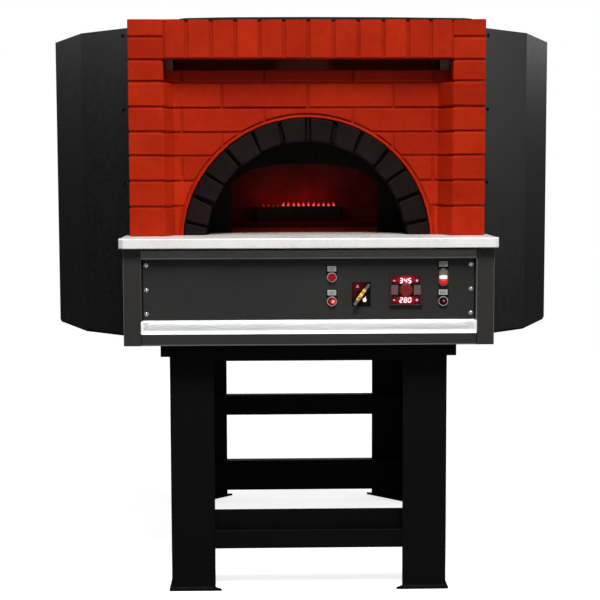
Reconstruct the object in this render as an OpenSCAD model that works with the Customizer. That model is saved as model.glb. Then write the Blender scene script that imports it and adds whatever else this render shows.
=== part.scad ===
// Stone-hearth pizza oven on a steel stand: polygonal steel jacket, brick
// front with a low arch, marble shelf and a control box under the shelf.
// Millimetres, +Z up, front towards -Y, origin on the floor at the centre
// of the plan.

/* [Body] */
// Width of the polygonal jacket across its flats
body_w = 1695; // [1650:5:1740]
// Height of the jacket's lower edge
body_z0 = 774.5; // [774.5:0.5:776]
// Height of the jacket's upper edge
body_z1 = 1730; // [1728:1:1735]
// Thickness of the jacket sheets
sheet_t = 2.5; // [2:0.5:4]
// Distance from the shelf's front edge to the jacket's rear flat
body_back = 1775; // [1755:5:1790]
// Distance from the shelf's front edge to the rearmost gas inlet
overall_d = 1800; // [1800:1:1815]

/* [Brick front] */
// Half width of the brick front
front_hw = 544; // [540:1:544]
// Width of each brick pillar at its face
pillar_w = 100; // [96:1:104]
// Distance of the pillar faces behind the shelf's front edge
face_y = 172; // [165:1:180]
// Depth of the recess between the pillars
recess_d = 70; // [60:1:72]
// Splay of the pillar jambs towards the recess
splay = 30; // [20:1:34]
// Width of the joints between the bricks
joint = 5; // [3:0.5:7]
// Number of upright bricks in the lintel
lintel_n = 12; // [10:1:14]
// Top of the brick front
brick_top = 1745; // [1735:1:1750]

/* [Arch] */
// Height of the arch's centre
arch_z = 1066; // [1060:1:1070]
// Inner radius of the arch stones
arch_r = 313; // [306:1:316]
// Depth of the arch stones
arch_d = 71; // [60:1:71]
// Number of arch stones
arch_n = 14; // [12:2:16]

/* [Shelf and hearth] */
// Height of the hearth and the shelf's top
hearth_z = 1089; // [1087:1:1091]
// Thickness of the marble shelf
marble_t = 30; // [28:1:30]
// Half width of the marble shelf
marble_hw = 562.5; // [558:0.5:566]
// Radius of the round oven chamber
chamber_r = 540; // [530:1:545]
// Rise of the chamber's dome above its wall
dome_rise = 150; // [140:1:160]

/* [Stand] */
// Half width over the legs
leg_x = 422; // [410:1:430]
// Width of each leg's flanges
leg_w = 134; // [120:1:140]
// Thickness of the leg steel
leg_t = 8; // [6:1:8]
// Front of the front legs behind the shelf's front edge
leg_y0 = 108; // [106:1:110]
// Back of the rear legs behind the shelf's front edge
leg_y1 = 1379; // [1340:1:1400]

/* [Controls] */
// Front of the control panel behind the shelf's front edge
panel_y = 45; // [44:1:46]
// Side of the square temperature controller
ctl_s = 96; // [96:1:96]
// Outer diameter of the push button bezels
bezel_d = 29.6; // [28:0.2:30]
// Travel of the push buttons
travel = 3.5; // [2.5:0.5:3.5]

/* [Flue] */
// Bore radius of the flue collar
flue_r = 101; // [99:1:102]
// Distance of the flue behind the shelf's front edge
flue_y = 400; // [395:1:405]

/* [Hidden] */
$fn = 64;

ap = body_w / 2;                 // apothem of the jacket
body_cy = body_back - ap;        // centre of the jacket
rv = ap / cos(11.25);            // corner radius of the 16-sided plan
cut_y = face_y + 102;            // where the jacket meets the brick front
wall_y = face_y + recess_d;      // face of the recessed brick wall
wall_hw = front_hw - pillar_w - splay;
stand_z = 768;                   // top of the stand
ch_y = 960;                      // centre of the chamber
wall_z = 1384;                   // top of the chamber wall
courses = [hearth_z, 1179, 1257, 1334, 1406.5, 1481, 1558, 1622.5, 1691, brick_top];
wall_top = 1597;                 // top of the recessed wall
dark = [0.13, 0.13, 0.13];
brick = [0.62, 0.13, 0.06];
steel = [0.75, 0.75, 0.75];
red_b = [68, 971];               // push buttons: x and height on the panel
lit_b = [68, 899];
dark_b = [401, 898.5];
twin_b = [401, 970];
sel_b = [156, 920];
ctl_b = [289, 932.6];

// Everything below is drawn from the shelf's front edge backwards, then
// moved so that the origin is at the centre of the plan.
module home() { translate([0, -overall_d / 2, 0]) children(); }
module blk(a, b) { translate(a) cube([b[0] - a[0], b[1] - a[1], b[2] - a[2]]); }
// Cylinder along +Y from y0 to y1 at x, z
module ycyl(x, z, r, y0, y1) {
  translate([x, y1, z]) rotate([90, 0, 0]) cylinder(r = r, h = y1 - y0);
}
// Upright plate: an XZ outline drawn on the panel, from y0 to y1
module yplate(y0, y1) {
  translate([0, y1, 0]) rotate([90, 0, 0]) linear_extrude(y1 - y0) children();
}
module rrect(w, h, r) {
  union() {
    square([w, h - 2 * r], center = true);
    square([w - 2 * r, h], center = true);
    for (i = [-1, 1], j = [-1, 1]) translate([i * (w / 2 - r), j * (h / 2 - r)]) circle(r = r, $fn = 32);
  }
}

// ---- stand ----
module leg(sx, front) {
  color(dark) home() translate([0, 0, 8])
    if (front) angle_leg(sx, leg_y0, 1); else angle_leg(sx, leg_y1, -1);
}
// L-section leg with its corner outwards
module angle_leg(sx, y, sy) {
  a = [[0, 0], [leg_w, 0], [leg_w, leg_t], [leg_t, leg_t], [leg_t, leg_w], [0, leg_w]];
  linear_extrude(754) polygon([for (p = a) [sx * (leg_x - p[0]), y + sy * p[1]]]);
}
module leg_front_left() { leg(-1, true); }
module leg_front_right() { leg(1, true); }
module leg_rear_left() { leg(-1, false); }
module leg_rear_right() { leg(1, false); }
module foot_plates() {
  color(dark) home() for (sx = [-1, 1], f = [[leg_y0, 1], [leg_y1, -1]]) difference() {
    linear_extrude(8) polygon([for (p = [[-8, -8], [leg_w + 20, -8], [-8, leg_w + 20]])
      [sx * (leg_x - p[0]), f[0] + f[1] * p[1]]]);
    translate([sx * (leg_x - 37), f[0] + f[1] * 37, -1]) cylinder(r = 7, h = 10);
  }
}
// Trough-shaped front beam: low front lip and a taller rear web
module front_lower_beam() {
  color(dark) home() {
    y = leg_y0 + leg_t + 2; hw = leg_x - leg_t - 2;
    union() {
      blk([-hw, y, 128], [hw, y + 58, 134]);
      blk([-hw, y, 128], [hw, y + 5, 185]);
      blk([-hw, y + 53, 128], [hw, y + 58, 238]);
    }
  }
}
module rear_channel(z0, z1) {
  y = leg_y1 - leg_t - 2; hw = leg_x - leg_t - 2;
  union() {
    blk([-hw, y - 40, z0], [hw, y - 35, z1]);
    blk([-hw, y - 40, z0], [hw, y, z0 + 5]);
    blk([-hw, y - 40, z1 - 5], [hw, y, z1]);
  }
}
module rear_lower_beam() { color(dark) home() rear_channel(35, 153); }
module rear_upper_crossbar() { color(dark) home() rear_channel(335, 414); }
bolt_x = 335;
module front_top_beam() {
  color(dark) home() difference() {
    union() {
      blk([-448, 90, 728], [448, 96, stand_z]);
      blk([-448, 90, 762], [448, 150, stand_z]);
      blk([-leg_x + leg_w + 1, leg_y0, 712], [leg_x - leg_w - 1, leg_y0 + 6, 765]);
    }
    for (x = [-bolt_x, bolt_x]) translate([x, 133, 750]) cylinder(r = 6.6, h = 30);
  }
}
module rear_top_beam() {
  color(dark) home() difference() {
    union() {
      blk([-448, leg_y1 + 12, 728], [448, leg_y1 + 18, stand_z]);
      blk([-448, leg_y1 - 42, 762], [448, leg_y1 + 18, stand_z]);
    }
    for (x = [-bolt_x, bolt_x]) translate([x, leg_y1 - 25, 750]) cylinder(r = 6.6, h = 30);
  }
}
module side_top_beams() {
  color(dark) home() for (s = [-1, 1]) {
    union() {
      blk([s > 0 ? 442 : -448, 97, 728], [s > 0 ? 448 : -442, leg_y1 + 11, 761.5]);
      blk([s > 0 ? 390 : -448, 151, 762], [s > 0 ? 448 : -390, leg_y1 - 43, stand_z]);
      blk([s > 0 ? 442 : -448, 151, 728], [s > 0 ? 448 : -442, leg_y1 - 43, stand_z]);
    }
  }
}
module stand_bolts() {
  color([0.45, 0.45, 0.45]) home() for (x = [-bolt_x, bolt_x], y = [133, leg_y1 - 25]) translate([x, y, 0]) union() {
    translate([0, 0, 753]) cylinder(r = 10.4, h = 8.8, $fn = 6);
    translate([0, 0, 760]) cylinder(r = 6, h = 20);
    translate([0, 0, 774.2]) cylinder(r = 10.4, h = 5.6, $fn = 6);
  }
}

// ---- body shell ----
function pt(k, a) = [a / cos(11.25) * cos(11.25 + 22.5 * k), body_cy + a / cos(11.25) * sin(11.25 + 22.5 * k)];
module plan16(a) { polygon([for (k = [0:15]) pt(k, a)]); }
module base_pan() {
  color(dark) home() difference() {
    translate([0, 0, stand_z]) linear_extrude(6) union() {
      intersection() { plan16(ap - sheet_t - 0.5); translate([-900, cut_y]) square([1800, 1600]); }
      translate([-547, 50]) square([1094, cut_y - 49]);
    }
    for (x = [-bolt_x, bolt_x], y = [133, leg_y1 - 25]) translate([x, y, 760]) cylinder(r = 6.6, h = 30);
  }
}
// One flat jacket sheet between two corners of the plan
module facet(p, q, h0, h1) {
  d = q - p; l = norm(d); u = d / l;
  n = [-u[1], u[0]];
  m = sheet_t * tan(11.25);
  linear_extrude(h1 - h0) polygon([p + u * 0.15, q - u * 0.15, q - u * (0.15 + m) + n * sheet_t, p + u * (0.15 + m) + n * sheet_t]);
}
// Right-hand jacket corners, from the brick front to the rear centre
function rx() = pt(13, ap)[0] + (cut_y - pt(13, ap)[1]) * (pt(14, ap)[0] - pt(13, ap)[0]) / (pt(14, ap)[1] - pt(13, ap)[1]);
path_r = [[rx(), cut_y], pt(14, ap), pt(15, ap), pt(0, ap), pt(1, ap), pt(2, ap), pt(3, ap), [0, body_back]];
module jacket_half() {
  translate([0, 0, body_z0]) for (i = [0:6]) facet(path_r[i], path_r[i + 1], body_z0, body_z1);
}
module cladding_right() {
  color(dark) home() difference() { jacket_half(); ycyl(80, 850, 14, body_back - 20, body_back + 5); }
}
module cladding_left() {
  color(dark) home() difference() {
    mirror([1, 0, 0]) jacket_half();
    ycyl(-80, 850, 10.2, body_back - 20, body_back + 5);
  }
}
module top_cover() {
  color(dark) home() difference() {
    translate([0, 0, body_z1 - 4]) linear_extrude(2) intersection() {
      plan16(ap - sheet_t - 0.5); translate([-900, cut_y]) square([1800, 1600]);
    }
    translate([0, flue_y, body_z1 - 10]) cylinder(r = flue_r + 4, h = 20);
  }
}

// ---- front box ----
module side_panel(s) {
  color([0.24, 0.23, 0.22]) home() linear_extrude(hearth_z - marble_t - 769)
    polygon([for (p = [[500, 25], [551, 25], [551, cut_y - 3], [549, cut_y - 3], [549, 27], [502, 27], [502, 44], [500, 44]]) [s * p[0], p[1]]]);
}
module side_panel_left() { translate([0, 0, 769]) side_panel(-1); }
module side_panel_right() { translate([0, 0, 769]) side_panel(1); }
module top_rail() {
  color([0.24, 0.23, 0.22]) home() union() {
    blk([-499.5, 28, 1027], [499.5, 30, 1053]);
    blk([-499.5, 28, 1027], [499.5, 44.5, 1029]);
    blk([-499.5, 28, 1051], [499.5, 60, 1053]);
  }
}
module bottom_rail() {
  color([0.24, 0.23, 0.22]) home() union() {
    blk([-499.5, 28, 774.5], [499.5, 30, 803]);
    blk([-499.5, 28, 769], [499.5, 30, 775]);
    blk([-499.5, 28, 801], [499.5, 60, 803]);
  }
}
module control_panel() {
  color([0.19, 0.19, 0.18]) home() difference() {
    blk([-499.5, panel_y, 845], [499.5, panel_y + 2, 1050.5]);
    for (p = [red_b, lit_b, dark_b, twin_b, sel_b]) ycyl(p[0], p[1], 11.2, panel_y - 2, panel_y + 4);
    blk([ctl_b[0] - 46, panel_y - 2, ctl_b[1] - 46], [ctl_b[0] + 46, panel_y + 4, ctl_b[1] + 46]);
    for (x = [-485, 485], z = [863, 935, 1008]) ycyl(x, z, 2.6, panel_y - 2, panel_y + 4);
  }
}
module slot_tray() {
  color(steel) home() union() {
    blk([-498, 26.5, 803.2], [498, 28, 811]);
    blk([-498, 26.5, 809.5], [498, 266, 811]);
    blk([-498, 264.5, 809.5], [498, 266, 842]);
    for (x = [-498, 496.8]) blk([x, 27, 810], [x + 1.2, 265.5, 841]);
  }
}
module control_box() {
  color([0.6, 0.6, 0.6]) home() union() {
    blk([-498, panel_y + 2.2, 843], [498, 240, 844.5]);
    blk([-498, 238.5, 843], [498, 240, 1048]);
    blk([-498, panel_y + 2.2, 843], [-496.5, 240, 1048]);
    blk([496.5, panel_y + 2.2, 843], [498, 240, 1048]);
  }
}
module marble_shelf() {
  color([0.93, 0.93, 0.91]) home() translate([0, 0, hearth_z - marble_t]) linear_extrude(marble_t)
    polygon([[-marble_hw + 14, 0], [marble_hw - 14, 0], [marble_hw, 14], [marble_hw, cut_y - 2], [-marble_hw, cut_y - 2], [-marble_hw, 14]]);
}
// Domed screw head on a short shank, pointing along -Y at the origin
module dscrew(r, h, s) {
  rotate([90, 0, 0]) union() {
    rotate_extrude($fn = 32) polygon([[0, 0], [r, 0], [r * 0.94, h * 0.45], [r * 0.7, h * 0.8], [r * 0.35, h * 0.97], [0, h]]);
    translate([0, 0, -s]) cylinder(r = 2.4, h = s + 0.1, $fn = 24);
  }
}
side_z = [795, 1023, 1251.5, 1479.5, 1708];
module dome_screws() {
  color(steel) home() {
    for (x = [-485, 485], z = [863, 935, 1008]) translate([x, panel_y, z]) dscrew(5, 3, 8);
    for (s = [-1, 1], z = side_z) translate([s * (rx() + 24.7 + 0.05), cut_y + 24.7 - 0.05, z]) rotate([0, 0, s * 45]) dscrew(5.5, 3.2, 0);
  }
}

// ---- controls ----
module legend_plates() {
  color(dark) home() {
    for (p = [[68, 996], [68, 924.5], [401, 1009], [401, 924.5]]) difference() {
      yplate(panel_y - 1.2, panel_y) translate(p) rrect(26.5, 16.5, 1.5);
      for (b = [red_b, lit_b, twin_b, dark_b]) ycyl(b[0], b[1], 15.2, panel_y - 4, panel_y + 2);
    }
    difference() {
      yplate(panel_y - 1.6, panel_y) translate(sel_b) rrect(55, 74, 2);
      ycyl(sel_b[0], sel_b[1], 11.2, panel_y - 4, panel_y + 2);
    }
  }
}
module bezel1(p) {
  difference() {
    union() {
      translate([p[0], panel_y, p[1]]) rotate([90, 0, 0]) rotate_extrude()
        polygon([[0, 0], [bezel_d / 2, 0], [bezel_d / 2, 2], [bezel_d / 2 - 1.6, 6.6], [bezel_d / 2 - 2.4, 7], [0, 7]]);
      ycyl(p[0], p[1], 11, panel_y, panel_y + 26);
    }
    ycyl(p[0], p[1], 11.8, panel_y - 8, panel_y - 0.2);
    ycyl(p[0], p[1], 9, panel_y - 8, panel_y + 27);
  }
}
module button_bezels() { color(steel) home() { bezel1(red_b); bezel1(lit_b); bezel1(dark_b); } }
module cap1(p) {
  translate([p[0], panel_y - 4.2, p[1]]) rotate([90, 0, 0]) rotate_extrude()
    polygon([[0, 0], [11.5, 0], [11.5, 4.2], [10.9, 5.2], [9.6, 5.7], [0, 5.9]]);
  ycyl(p[0], p[1], 8.7, panel_y - 4.3, panel_y + 22);
}
module red_button() { color([0.75, 0.05, 0.03]) home() union() cap1(red_b); }
module lit_button() { color([0.95, 0.25, 0.2]) home() union() cap1(lit_b); }
module dark_button() { color([0.3, 0.03, 0.04]) home() union() cap1(dark_b); }
module twin_outline(w, h) {
  union() { for (s = [-1, 1]) translate([0, s * (h - w) / 2]) circle(d = w); square([w, h - w], center = true); }
}
module twin_button_body() {
  color(steel) home() difference() {
    union() {
      yplate(panel_y - 8, panel_y) translate(twin_b) twin_outline(30, 54);
      ycyl(twin_b[0], twin_b[1], 11, panel_y - 1, panel_y + 26);
    }
    for (s = [-1, 1]) yplate(panel_y - 10, panel_y - 1.2) translate(twin_b) twin_half(s, 25, 49, 6.1);
    yplate(panel_y - 10, panel_y - 7) translate(twin_b) square([24.4, 10.2], center = true);
  }
}
// Upper or lower part of the oval, from height g outwards
module twin_half(s, w, h, g) {
  intersection() { twin_outline(w, h); translate([-20, s > 0 ? g : -40]) square([40, 40 - g]); }
}
module twin_lens() {
  color([0.95, 0.9, 0.88]) home() yplate(panel_y - 9.2, panel_y - 7) translate(twin_b) square([24, 9.8], center = true);
}
module twin_cap(s) {
  yplate(panel_y - 10, panel_y - 5) translate(twin_b) twin_half(s, 24.2, 48.2, 6.5);
}
module twin_button_upper() { color([0.4, 0.45, 0.38]) home() twin_cap(1); }
module twin_button_lower() { color([0.75, 0.06, 0.05]) home() twin_cap(-1); }
// Rotary selector: round base with a long slanted pointer handle
module selector_knob() {
  color([0.85, 0.5, 0.12]) home() union() {
    ycyl(sel_b[0], sel_b[1], 13.5, panel_y - 12, panel_y - 1.9);
    ycyl(sel_b[0], sel_b[1], 3, panel_y - 3, panel_y + 30);
    translate([sel_b[0], panel_y - 12, sel_b[1]]) rotate([0, -54, 0]) rotate([90, 0, 0])
      linear_extrude(10) polygon([[-38, -3.5], [-36, -5.5], [30, -5.5], [38, -3], [38, 3], [30, 5.5], [-36, 5.5], [-38, 3.5]]);
  }
}
key_dx = 33.5;
disp_dz = 30.5;
module controller_case() {
  color([0.16, 0.16, 0.16]) home() difference() {
    union() {
      yplate(panel_y - 8, panel_y) translate(ctl_b) rrect(ctl_s, ctl_s, 3);
      blk([ctl_b[0] - 45.7, panel_y - 1, ctl_b[1] - 45.7], [ctl_b[0] + 45.7, panel_y + 70, ctl_b[1] + 45.7]);
    }
    for (s = [-1, 1]) yplate(panel_y - 10, panel_y - 6.5) translate(ctl_b + [0, s * disp_dz]) rrect(86, 22, 1.5);
    for (s = [-1, 1]) yplate(panel_y - 10, panel_y - 3) translate(ctl_b + [s * key_dx, 0]) rrect(20.6, 29.6, 1.6);
    ycyl(ctl_b[0], ctl_b[1], 3.05, panel_y - 10, panel_y + 12);
  }
}
module controller_displays() {
  color([0.05, 0.01, 0.01]) home() for (s = [-1, 1]) yplate(panel_y - 7.6, panel_y - 6.5) translate(ctl_b + [0, s * disp_dz]) rrect(86, 22, 1.5);
}
module controller_knob() {
  color([0.2, 0.17, 0.16]) home() union() {
    translate([ctl_b[0], panel_y - 8.4, ctl_b[1]]) rotate([90, 0, 0]) difference() {
      rotate_extrude() polygon([[0, 0], [19.5, 0], [19.5, 3], [18.6, 3.4], [17.6, 13.2], [16.8, 14.4], [15.2, 14.9], [0, 14.9]]);
      for (a = [0:15:345]) rotate([0, 0, a]) translate([19, 0, 3.4]) cylinder(r = 1.1, h = 14, $fn = 16);
    }
    ycyl(ctl_b[0], ctl_b[1], 3, panel_y - 9, panel_y + 10);
  }
}
module key1(s) {
  yplate(panel_y - 9.6, panel_y - 5) translate(ctl_b + [s * key_dx, 0]) rrect(20, 29, 1.4);
}
module key_left() { color([0.35, 0.35, 0.36]) home() key1(-1); }
module key_right() { color([0.35, 0.35, 0.36]) home() key1(1); }
module contact_blocks() {
  color([0.2, 0.2, 0.2]) home() {
    for (p = [red_b, lit_b, dark_b]) blk([p[0] - 14, panel_y + 27, p[1] - 20], [p[0] + 14, panel_y + 62, p[1] + 20]);
    blk([twin_b[0] - 14, panel_y + 27, twin_b[1] - 20], [twin_b[0] + 14, panel_y + 62, twin_b[1] + 20]);
    difference() {
      blk([sel_b[0] - 14, panel_y + 3, sel_b[1] - 20], [sel_b[0] + 14, panel_y + 62, sel_b[1] + 20]);
      ycyl(sel_b[0], sel_b[1], 3.05, panel_y - 2, panel_y + 31);
    }
  }
}

// ---- brick front ----
// Pillar brick outline: splayed beside the recess, square beside the lintel
function pillar_plan(i, f, b) = i < 7
  ? [[front_hw - pillar_w + f, face_y + b], [front_hw - b, face_y + b], [front_hw - b, cut_y - 2], [wall_hw + b, cut_y - 2], [wall_hw + b, wall_y]]
  : [[front_hw - pillar_w + b, face_y + b], [front_hw - b, face_y + b], [front_hw - b, cut_y - 2], [front_hw - pillar_w + b, cut_y - 2]];
module pillar(s) {
  for (i = [0:8]) translate([0, 0, courses[i] + (i == 0 ? 0 : joint / 2)])
    linear_extrude(courses[i + 1] - courses[i] - (i == 0 || i == 8 ? joint / 2 : joint)) polygon([for (p = pillar_plan(i, 0, 0)) [s * p[0], p[1]]]);
}
module pillar_left() { color(brick) home() pillar(-1); }
module pillar_right() { color(brick) home() pillar(1); }
lint_w = 2 * (front_hw - pillar_w) / lintel_n;
lint_y1 = face_y + 60;
module lintel() {
  color(brick) home() for (i = [0:lintel_n - 1])
    blk([-(front_hw - pillar_w) + i * lint_w + joint / 2, face_y, 1628], [-(front_hw - pillar_w) + (i + 1) * lint_w - joint / 2, lint_y1, brick_top]);
}
function jx(i) = (i % 2 == 1) ? [-wall_hw, -262, 4, 268, wall_hw] : [-wall_hw, -386, -131, 143, 391, wall_hw];
rim_r = arch_r + arch_d + 9;
slip = 8;
module recess_wall() {
  color(brick) home() {
    for (i = [0:6]) {
      z0 = courses[i]; z1 = min(courses[i + 1], wall_top); xs = jx(i);
      for (j = [0:len(xs) - 2]) {
        x0 = xs[j] + (j == 0 ? 0.5 : joint / 2); x1 = xs[j + 1] - (j == len(xs) - 2 ? 0.5 : joint / 2);
        yplate(wall_y, wall_y + slip) difference() {
          translate([x0, z0 + (i == 0 ? 0 : joint / 2)]) square([x1 - x0, z1 - z0 - (i == 0 || i == 6 ? joint / 2 : joint)]);
          translate([0, arch_z]) circle(r = rim_r + 2, $fn = 180);
        }
      }
    }
    // thin rim around the arch stones
    for (k = [0:arch_n - 1]) yplate(wall_y - 1, wall_y + slip) arc_block(rim_r - 6, rim_r, k, 0.15);
  }
}
a0 = asin((hearth_z - arch_z) / arch_r) + 0.1;
da = (180 - 2 * a0) / arch_n;
// Straight-sided block k of the arch between two radii, g degrees of joint
module arc_block(r0, r1, k, g) {
  t0 = a0 + k * da + g / 2; t1 = a0 + (k + 1) * da - g / 2;
  tm = (t0 + t1) / 2;
  translate([0, arch_z]) polygon([for (p = [[r0, t0], [r1, t0], [r1, tm], [r1, t1], [r0, t1]]) [p[0] * cos(p[1]), p[0] * sin(p[1])]]);
}
module mortar_backing() {
  color([0.4, 0.12, 0.07]) home() {
    // bed joints of the pillars, set back from the brick faces
    for (s = [-1, 1], i = [1:8]) translate([0, 0, courses[i] - joint / 2]) linear_extrude(joint)
      polygon([for (p = pillar_plan(i, 3, 5)) [s * p[0], p[1]]]);
    // upright joints of the lintel
    for (i = [1:lintel_n - 1]) blk([-(front_hw - pillar_w) + i * lint_w - joint / 2, face_y + 5, 1630], [-(front_hw - pillar_w) + i * lint_w + joint / 2, lint_y1 - 2, brick_top - 3]);
    // backing panel of the recessed wall, one strip a course
    for (i = [0:6]) {
      z0 = courses[i] + 0.15; z1 = min(courses[i + 1], wall_top) - 0.15;
      yplate(wall_y + slip, cut_y - 2) difference() {
        translate([-wall_hw + 0.5, z0]) square([2 * wall_hw - 1, z1 - z0]);
        translate([0, arch_z]) circle(r = rim_r + 2, $fn = 180);
      }
    }
  }
}
module voussoirs() {
  color([0.14, 0.12, 0.11]) home() for (k = [0:arch_n - 1]) yplate(wall_y - 4, wall_y + 58) arc_block(arch_r, arch_r + arch_d, k, 0.75);
}
module tunnel_lining() {
  color([0.2, 0.16, 0.14]) home() for (k = [0:arch_n - 1]) yplate(wall_y + 58.5, 439.5) arc_block(arch_r + 4, arch_r + arch_d - 6, k, 0.1);
}
module threshold() {
  color([0.72, 0.66, 0.58]) home() blk([-arch_r + 2, cut_y - 1.8, hearth_z - marble_t], [arch_r - 2, 439.5, hearth_z]);
}
mh = 240;         // half width of the inner mouth
mouth_side = 1243;
mouth_top = 1312;
module mouth_frame() {
  color([0.2, 0.15, 0.12]) home() {
    for (s = [-1, 1]) translate([0, 0, hearth_z]) linear_extrude(mouth_side - hearth_z)
      polygon([for (p = [[mh, 440], [330, 440], [320, 455], [290, 503], [mh, 503]]) [s * p[0], p[1]]]);
    // flat arch of seven stones over the mouth
    for (k = [0:6]) {
      x0 = -mh + k * 2 * mh / 7 + 0.4; x1 = -mh + (k + 1) * 2 * mh / 7 - 0.4;
      yplate(440, 503) polygon([[x0, mz(x0)], [x1, mz(x1)], [x1, 1380], [x0, 1380]]);
    }
    for (s = [-1, 1]) blk([s > 0 ? mh + 0.4 : -290, 440, mouth_side + 0.4], [s > 0 ? 290 : -mh - 0.4, 503, 1380]);
  }
}
function mz(x) = mouth_side + (mouth_top - mouth_side) * sqrt(1 - pow(abs(x) / (mh + 1), 2.4));

// ---- oven inside ----
module hearth_base() {
  color([0.8, 0.77, 0.7]) home() difference() {
    translate([0, 0, 780]) intersection() {
      linear_extrude(hearth_z - 40 - 780.5) plan16(ap - 8);
      blk([-900, cut_y + 4, 0], [900, 1800, 400]);
    }
    translate([80, 1457, 700]) cylinder(r = 13, h = 500);
    ycyl(80, 850, 30, 1457, 1800);
    ycyl(-80, 850, 30, 1700, 1800);
    blk([40, 1420, 780 - 5], [120, 1560, 900]);
  }
}
tw = 216;
module hearth_tiles() {
  color([0.66, 0.55, 0.45]) home() difference() {
    for (i = [-3:2], j = [0:4]) intersection() {
      translate([i * tw + 0.5, 440.5 + j * tw, hearth_z - 40]) cube([tw - 1, tw - 1, 40]);
      union() {
        translate([0, ch_y, hearth_z - 50]) cylinder(r = chamber_r - 1, h = 60, $fn = 180);
        blk([-mh + 0.5, 440.5, hearth_z - 50], [mh - 0.5, 660, hearth_z + 10]);
      }
    }
    translate([80, 1457, 700]) cylinder(r = 11, h = 500);
  }
}
wa = 57;
module chamber_wall() {
  color([0.55, 0.4, 0.3]) home() translate([0, ch_y, hearth_z - 40]) {
    n = 12; st = (360 - 2 * (90 - wa)) / n;
    for (k = [0:n - 1]) rotate([0, 0, -wa + k * st + 0.02]) rotate_extrude(angle = st - 0.04, $fn = 180)
      translate([chamber_r, 0]) square([60, wall_z - hearth_z + 40]);
  }
}
dome_R = (chamber_r * chamber_r + dome_rise * dome_rise) / (2 * dome_rise);
function dz(r, R) = wall_z + 0.5 + dome_rise - dome_R + sqrt(R * R - r * r);
module dome_ring(r0, r1, n) {
  for (k = [0:n - 1]) rotate([0, 0, k * 360 / n + 0.03]) rotate_extrude(angle = 360 / n - 0.06, $fn = 180)
    polygon(concat([for (i = [0:3]) let(r = r0 + (r1 - r0) * i / 3) [r, dz(r, dome_R)]],
      r1 > 500 ? [[r1 + 60, wall_z + 0.5]] : [],
      [for (i = [3:-1:0]) let(r = r0 + (r1 + (r1 > 500 ? 60 : 0) - r0) * i / 3) [r, dz(r, dome_R + 70)]]));
}
module dome() {
  color([0.55, 0.4, 0.3]) home() translate([0, ch_y, 0]) {
    // the front is cut away for the tunnel's stones
    difference() {
      dome_ring(400.4, chamber_r, 12);
      blk([-400, 300 - ch_y, 1300], [400, 440.5 - ch_y, 1500]);
    }
    dome_ring(200.4, 400, 8);
    rotate_extrude($fn = 180) polygon([[0, dz(0, dome_R)], [100, dz(100, dome_R)], [200, dz(200, dome_R)], [200, dz(200, dome_R + 70)], [100, dz(100, dome_R + 70)], [0, dz(0, dome_R + 70)]]);
  }
}
module insulation() {
  color([0.85, 0.84, 0.8]) home() difference() {
    translate([0, 0, hearth_z - 39]) linear_extrude(1700 - hearth_z + 39) difference() {
      plan16(ap - 8);
      translate([-900, -10]) square([1800, 533 + 10]);
    }
    translate([0, ch_y, hearth_z - 60]) cylinder(r = chamber_r + 61, h = 1612 - hearth_z + 60, $fn = 180);
    blk([-450, 200, 1000], [450, 522, 1760]);
  }
}
// Burner rail at the back of the hearth, with a row of gas ports
port_n = 15;
module burner() {
  color([0.35, 0.3, 0.27]) home() difference() {
    blk([-165, 1430, hearth_z], [165, 1466, hearth_z + 64]);
    for (i = [0:port_n - 1]) blk([(i - (port_n - 1) / 2) * 20 - 3.5, 1420, hearth_z + 30], [(i - (port_n - 1) / 2) * 20 + 3.5, 1446, hearth_z + 56]);
    translate([80, 1457, hearth_z - 5]) cylinder(r = 6, h = 20);
  }
}
// Gas valve, riser to the burner and the threaded inlet at the back
module gas_train() {
  color([0.7, 0.55, 0.25]) home() union() {
    translate([80, 1457, 860]) cylinder(r = 8, h = hearth_z - 860 - 0.5);
    blk([50, 1430, 800], [110, 1550, 880]);
    ycyl(80, 850, 8, 1540, 1750);
    ycyl(80, 850, 10.48, 1745, overall_d);
  }
}
module smoke_hood() {
  color([0.5, 0.5, 0.5]) home() {
    x = wall_hw - 3; y0 = lint_y1 + 1; y1 = 520; z1 = body_z1 - 6;
    blk([-x, cut_y - 2 + 0.3, wall_top - 2], [x, y1, wall_top]);
    blk([-x, y1 - 2, wall_top + 0.2], [x, y1, z1 - 2.2]);
    blk([-x, y0, wall_top + 0.2], [-x + 2, y1 - 2.2, z1 - 2.2]);
    blk([x - 2, y0, wall_top + 0.2], [x, y1 - 2.2, z1 - 2.2]);
    difference() {
      blk([-x, y0, z1 - 2], [x, y1, z1]);
      translate([0, flue_y, z1 - 10]) cylinder(r = flue_r + 4, h = 20);
    }
  }
}
module flue_collar() {
  color(steel) home() translate([0, flue_y, 0]) difference() {
    union() {
      translate([0, 0, 1712]) cylinder(r = flue_r + 3, h = 1757 - 1712, $fn = 128);
      translate([0, 0, body_z1 - 2]) cylinder(r = flue_r + 26, h = 3, $fn = 128);
    }
    translate([0, 0, 1700]) cylinder(r = flue_r, h = 80, $fn = 128);
  }
}
// Gland for the mains lead at the back
module cable_gland() {
  color([0.12, 0.12, 0.12]) home() difference() {
    union() {
      ycyl(-80, 850, 10, body_back - 14, body_back + 2);
      translate([-80, body_back + 6, 850]) rotate([90, 0, 0]) cylinder(r = 13, h = 6, $fn = 6);
      translate([-80, body_back, 850]) rotate([-90, 0, 0]) rotate_extrude() polygon([[0, 5], [10, 5], [10, 14], [8, 20], [0, 20]]);
    }
    ycyl(-80, 850, 5, body_back - 20, body_back + 25);
  }
}

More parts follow.
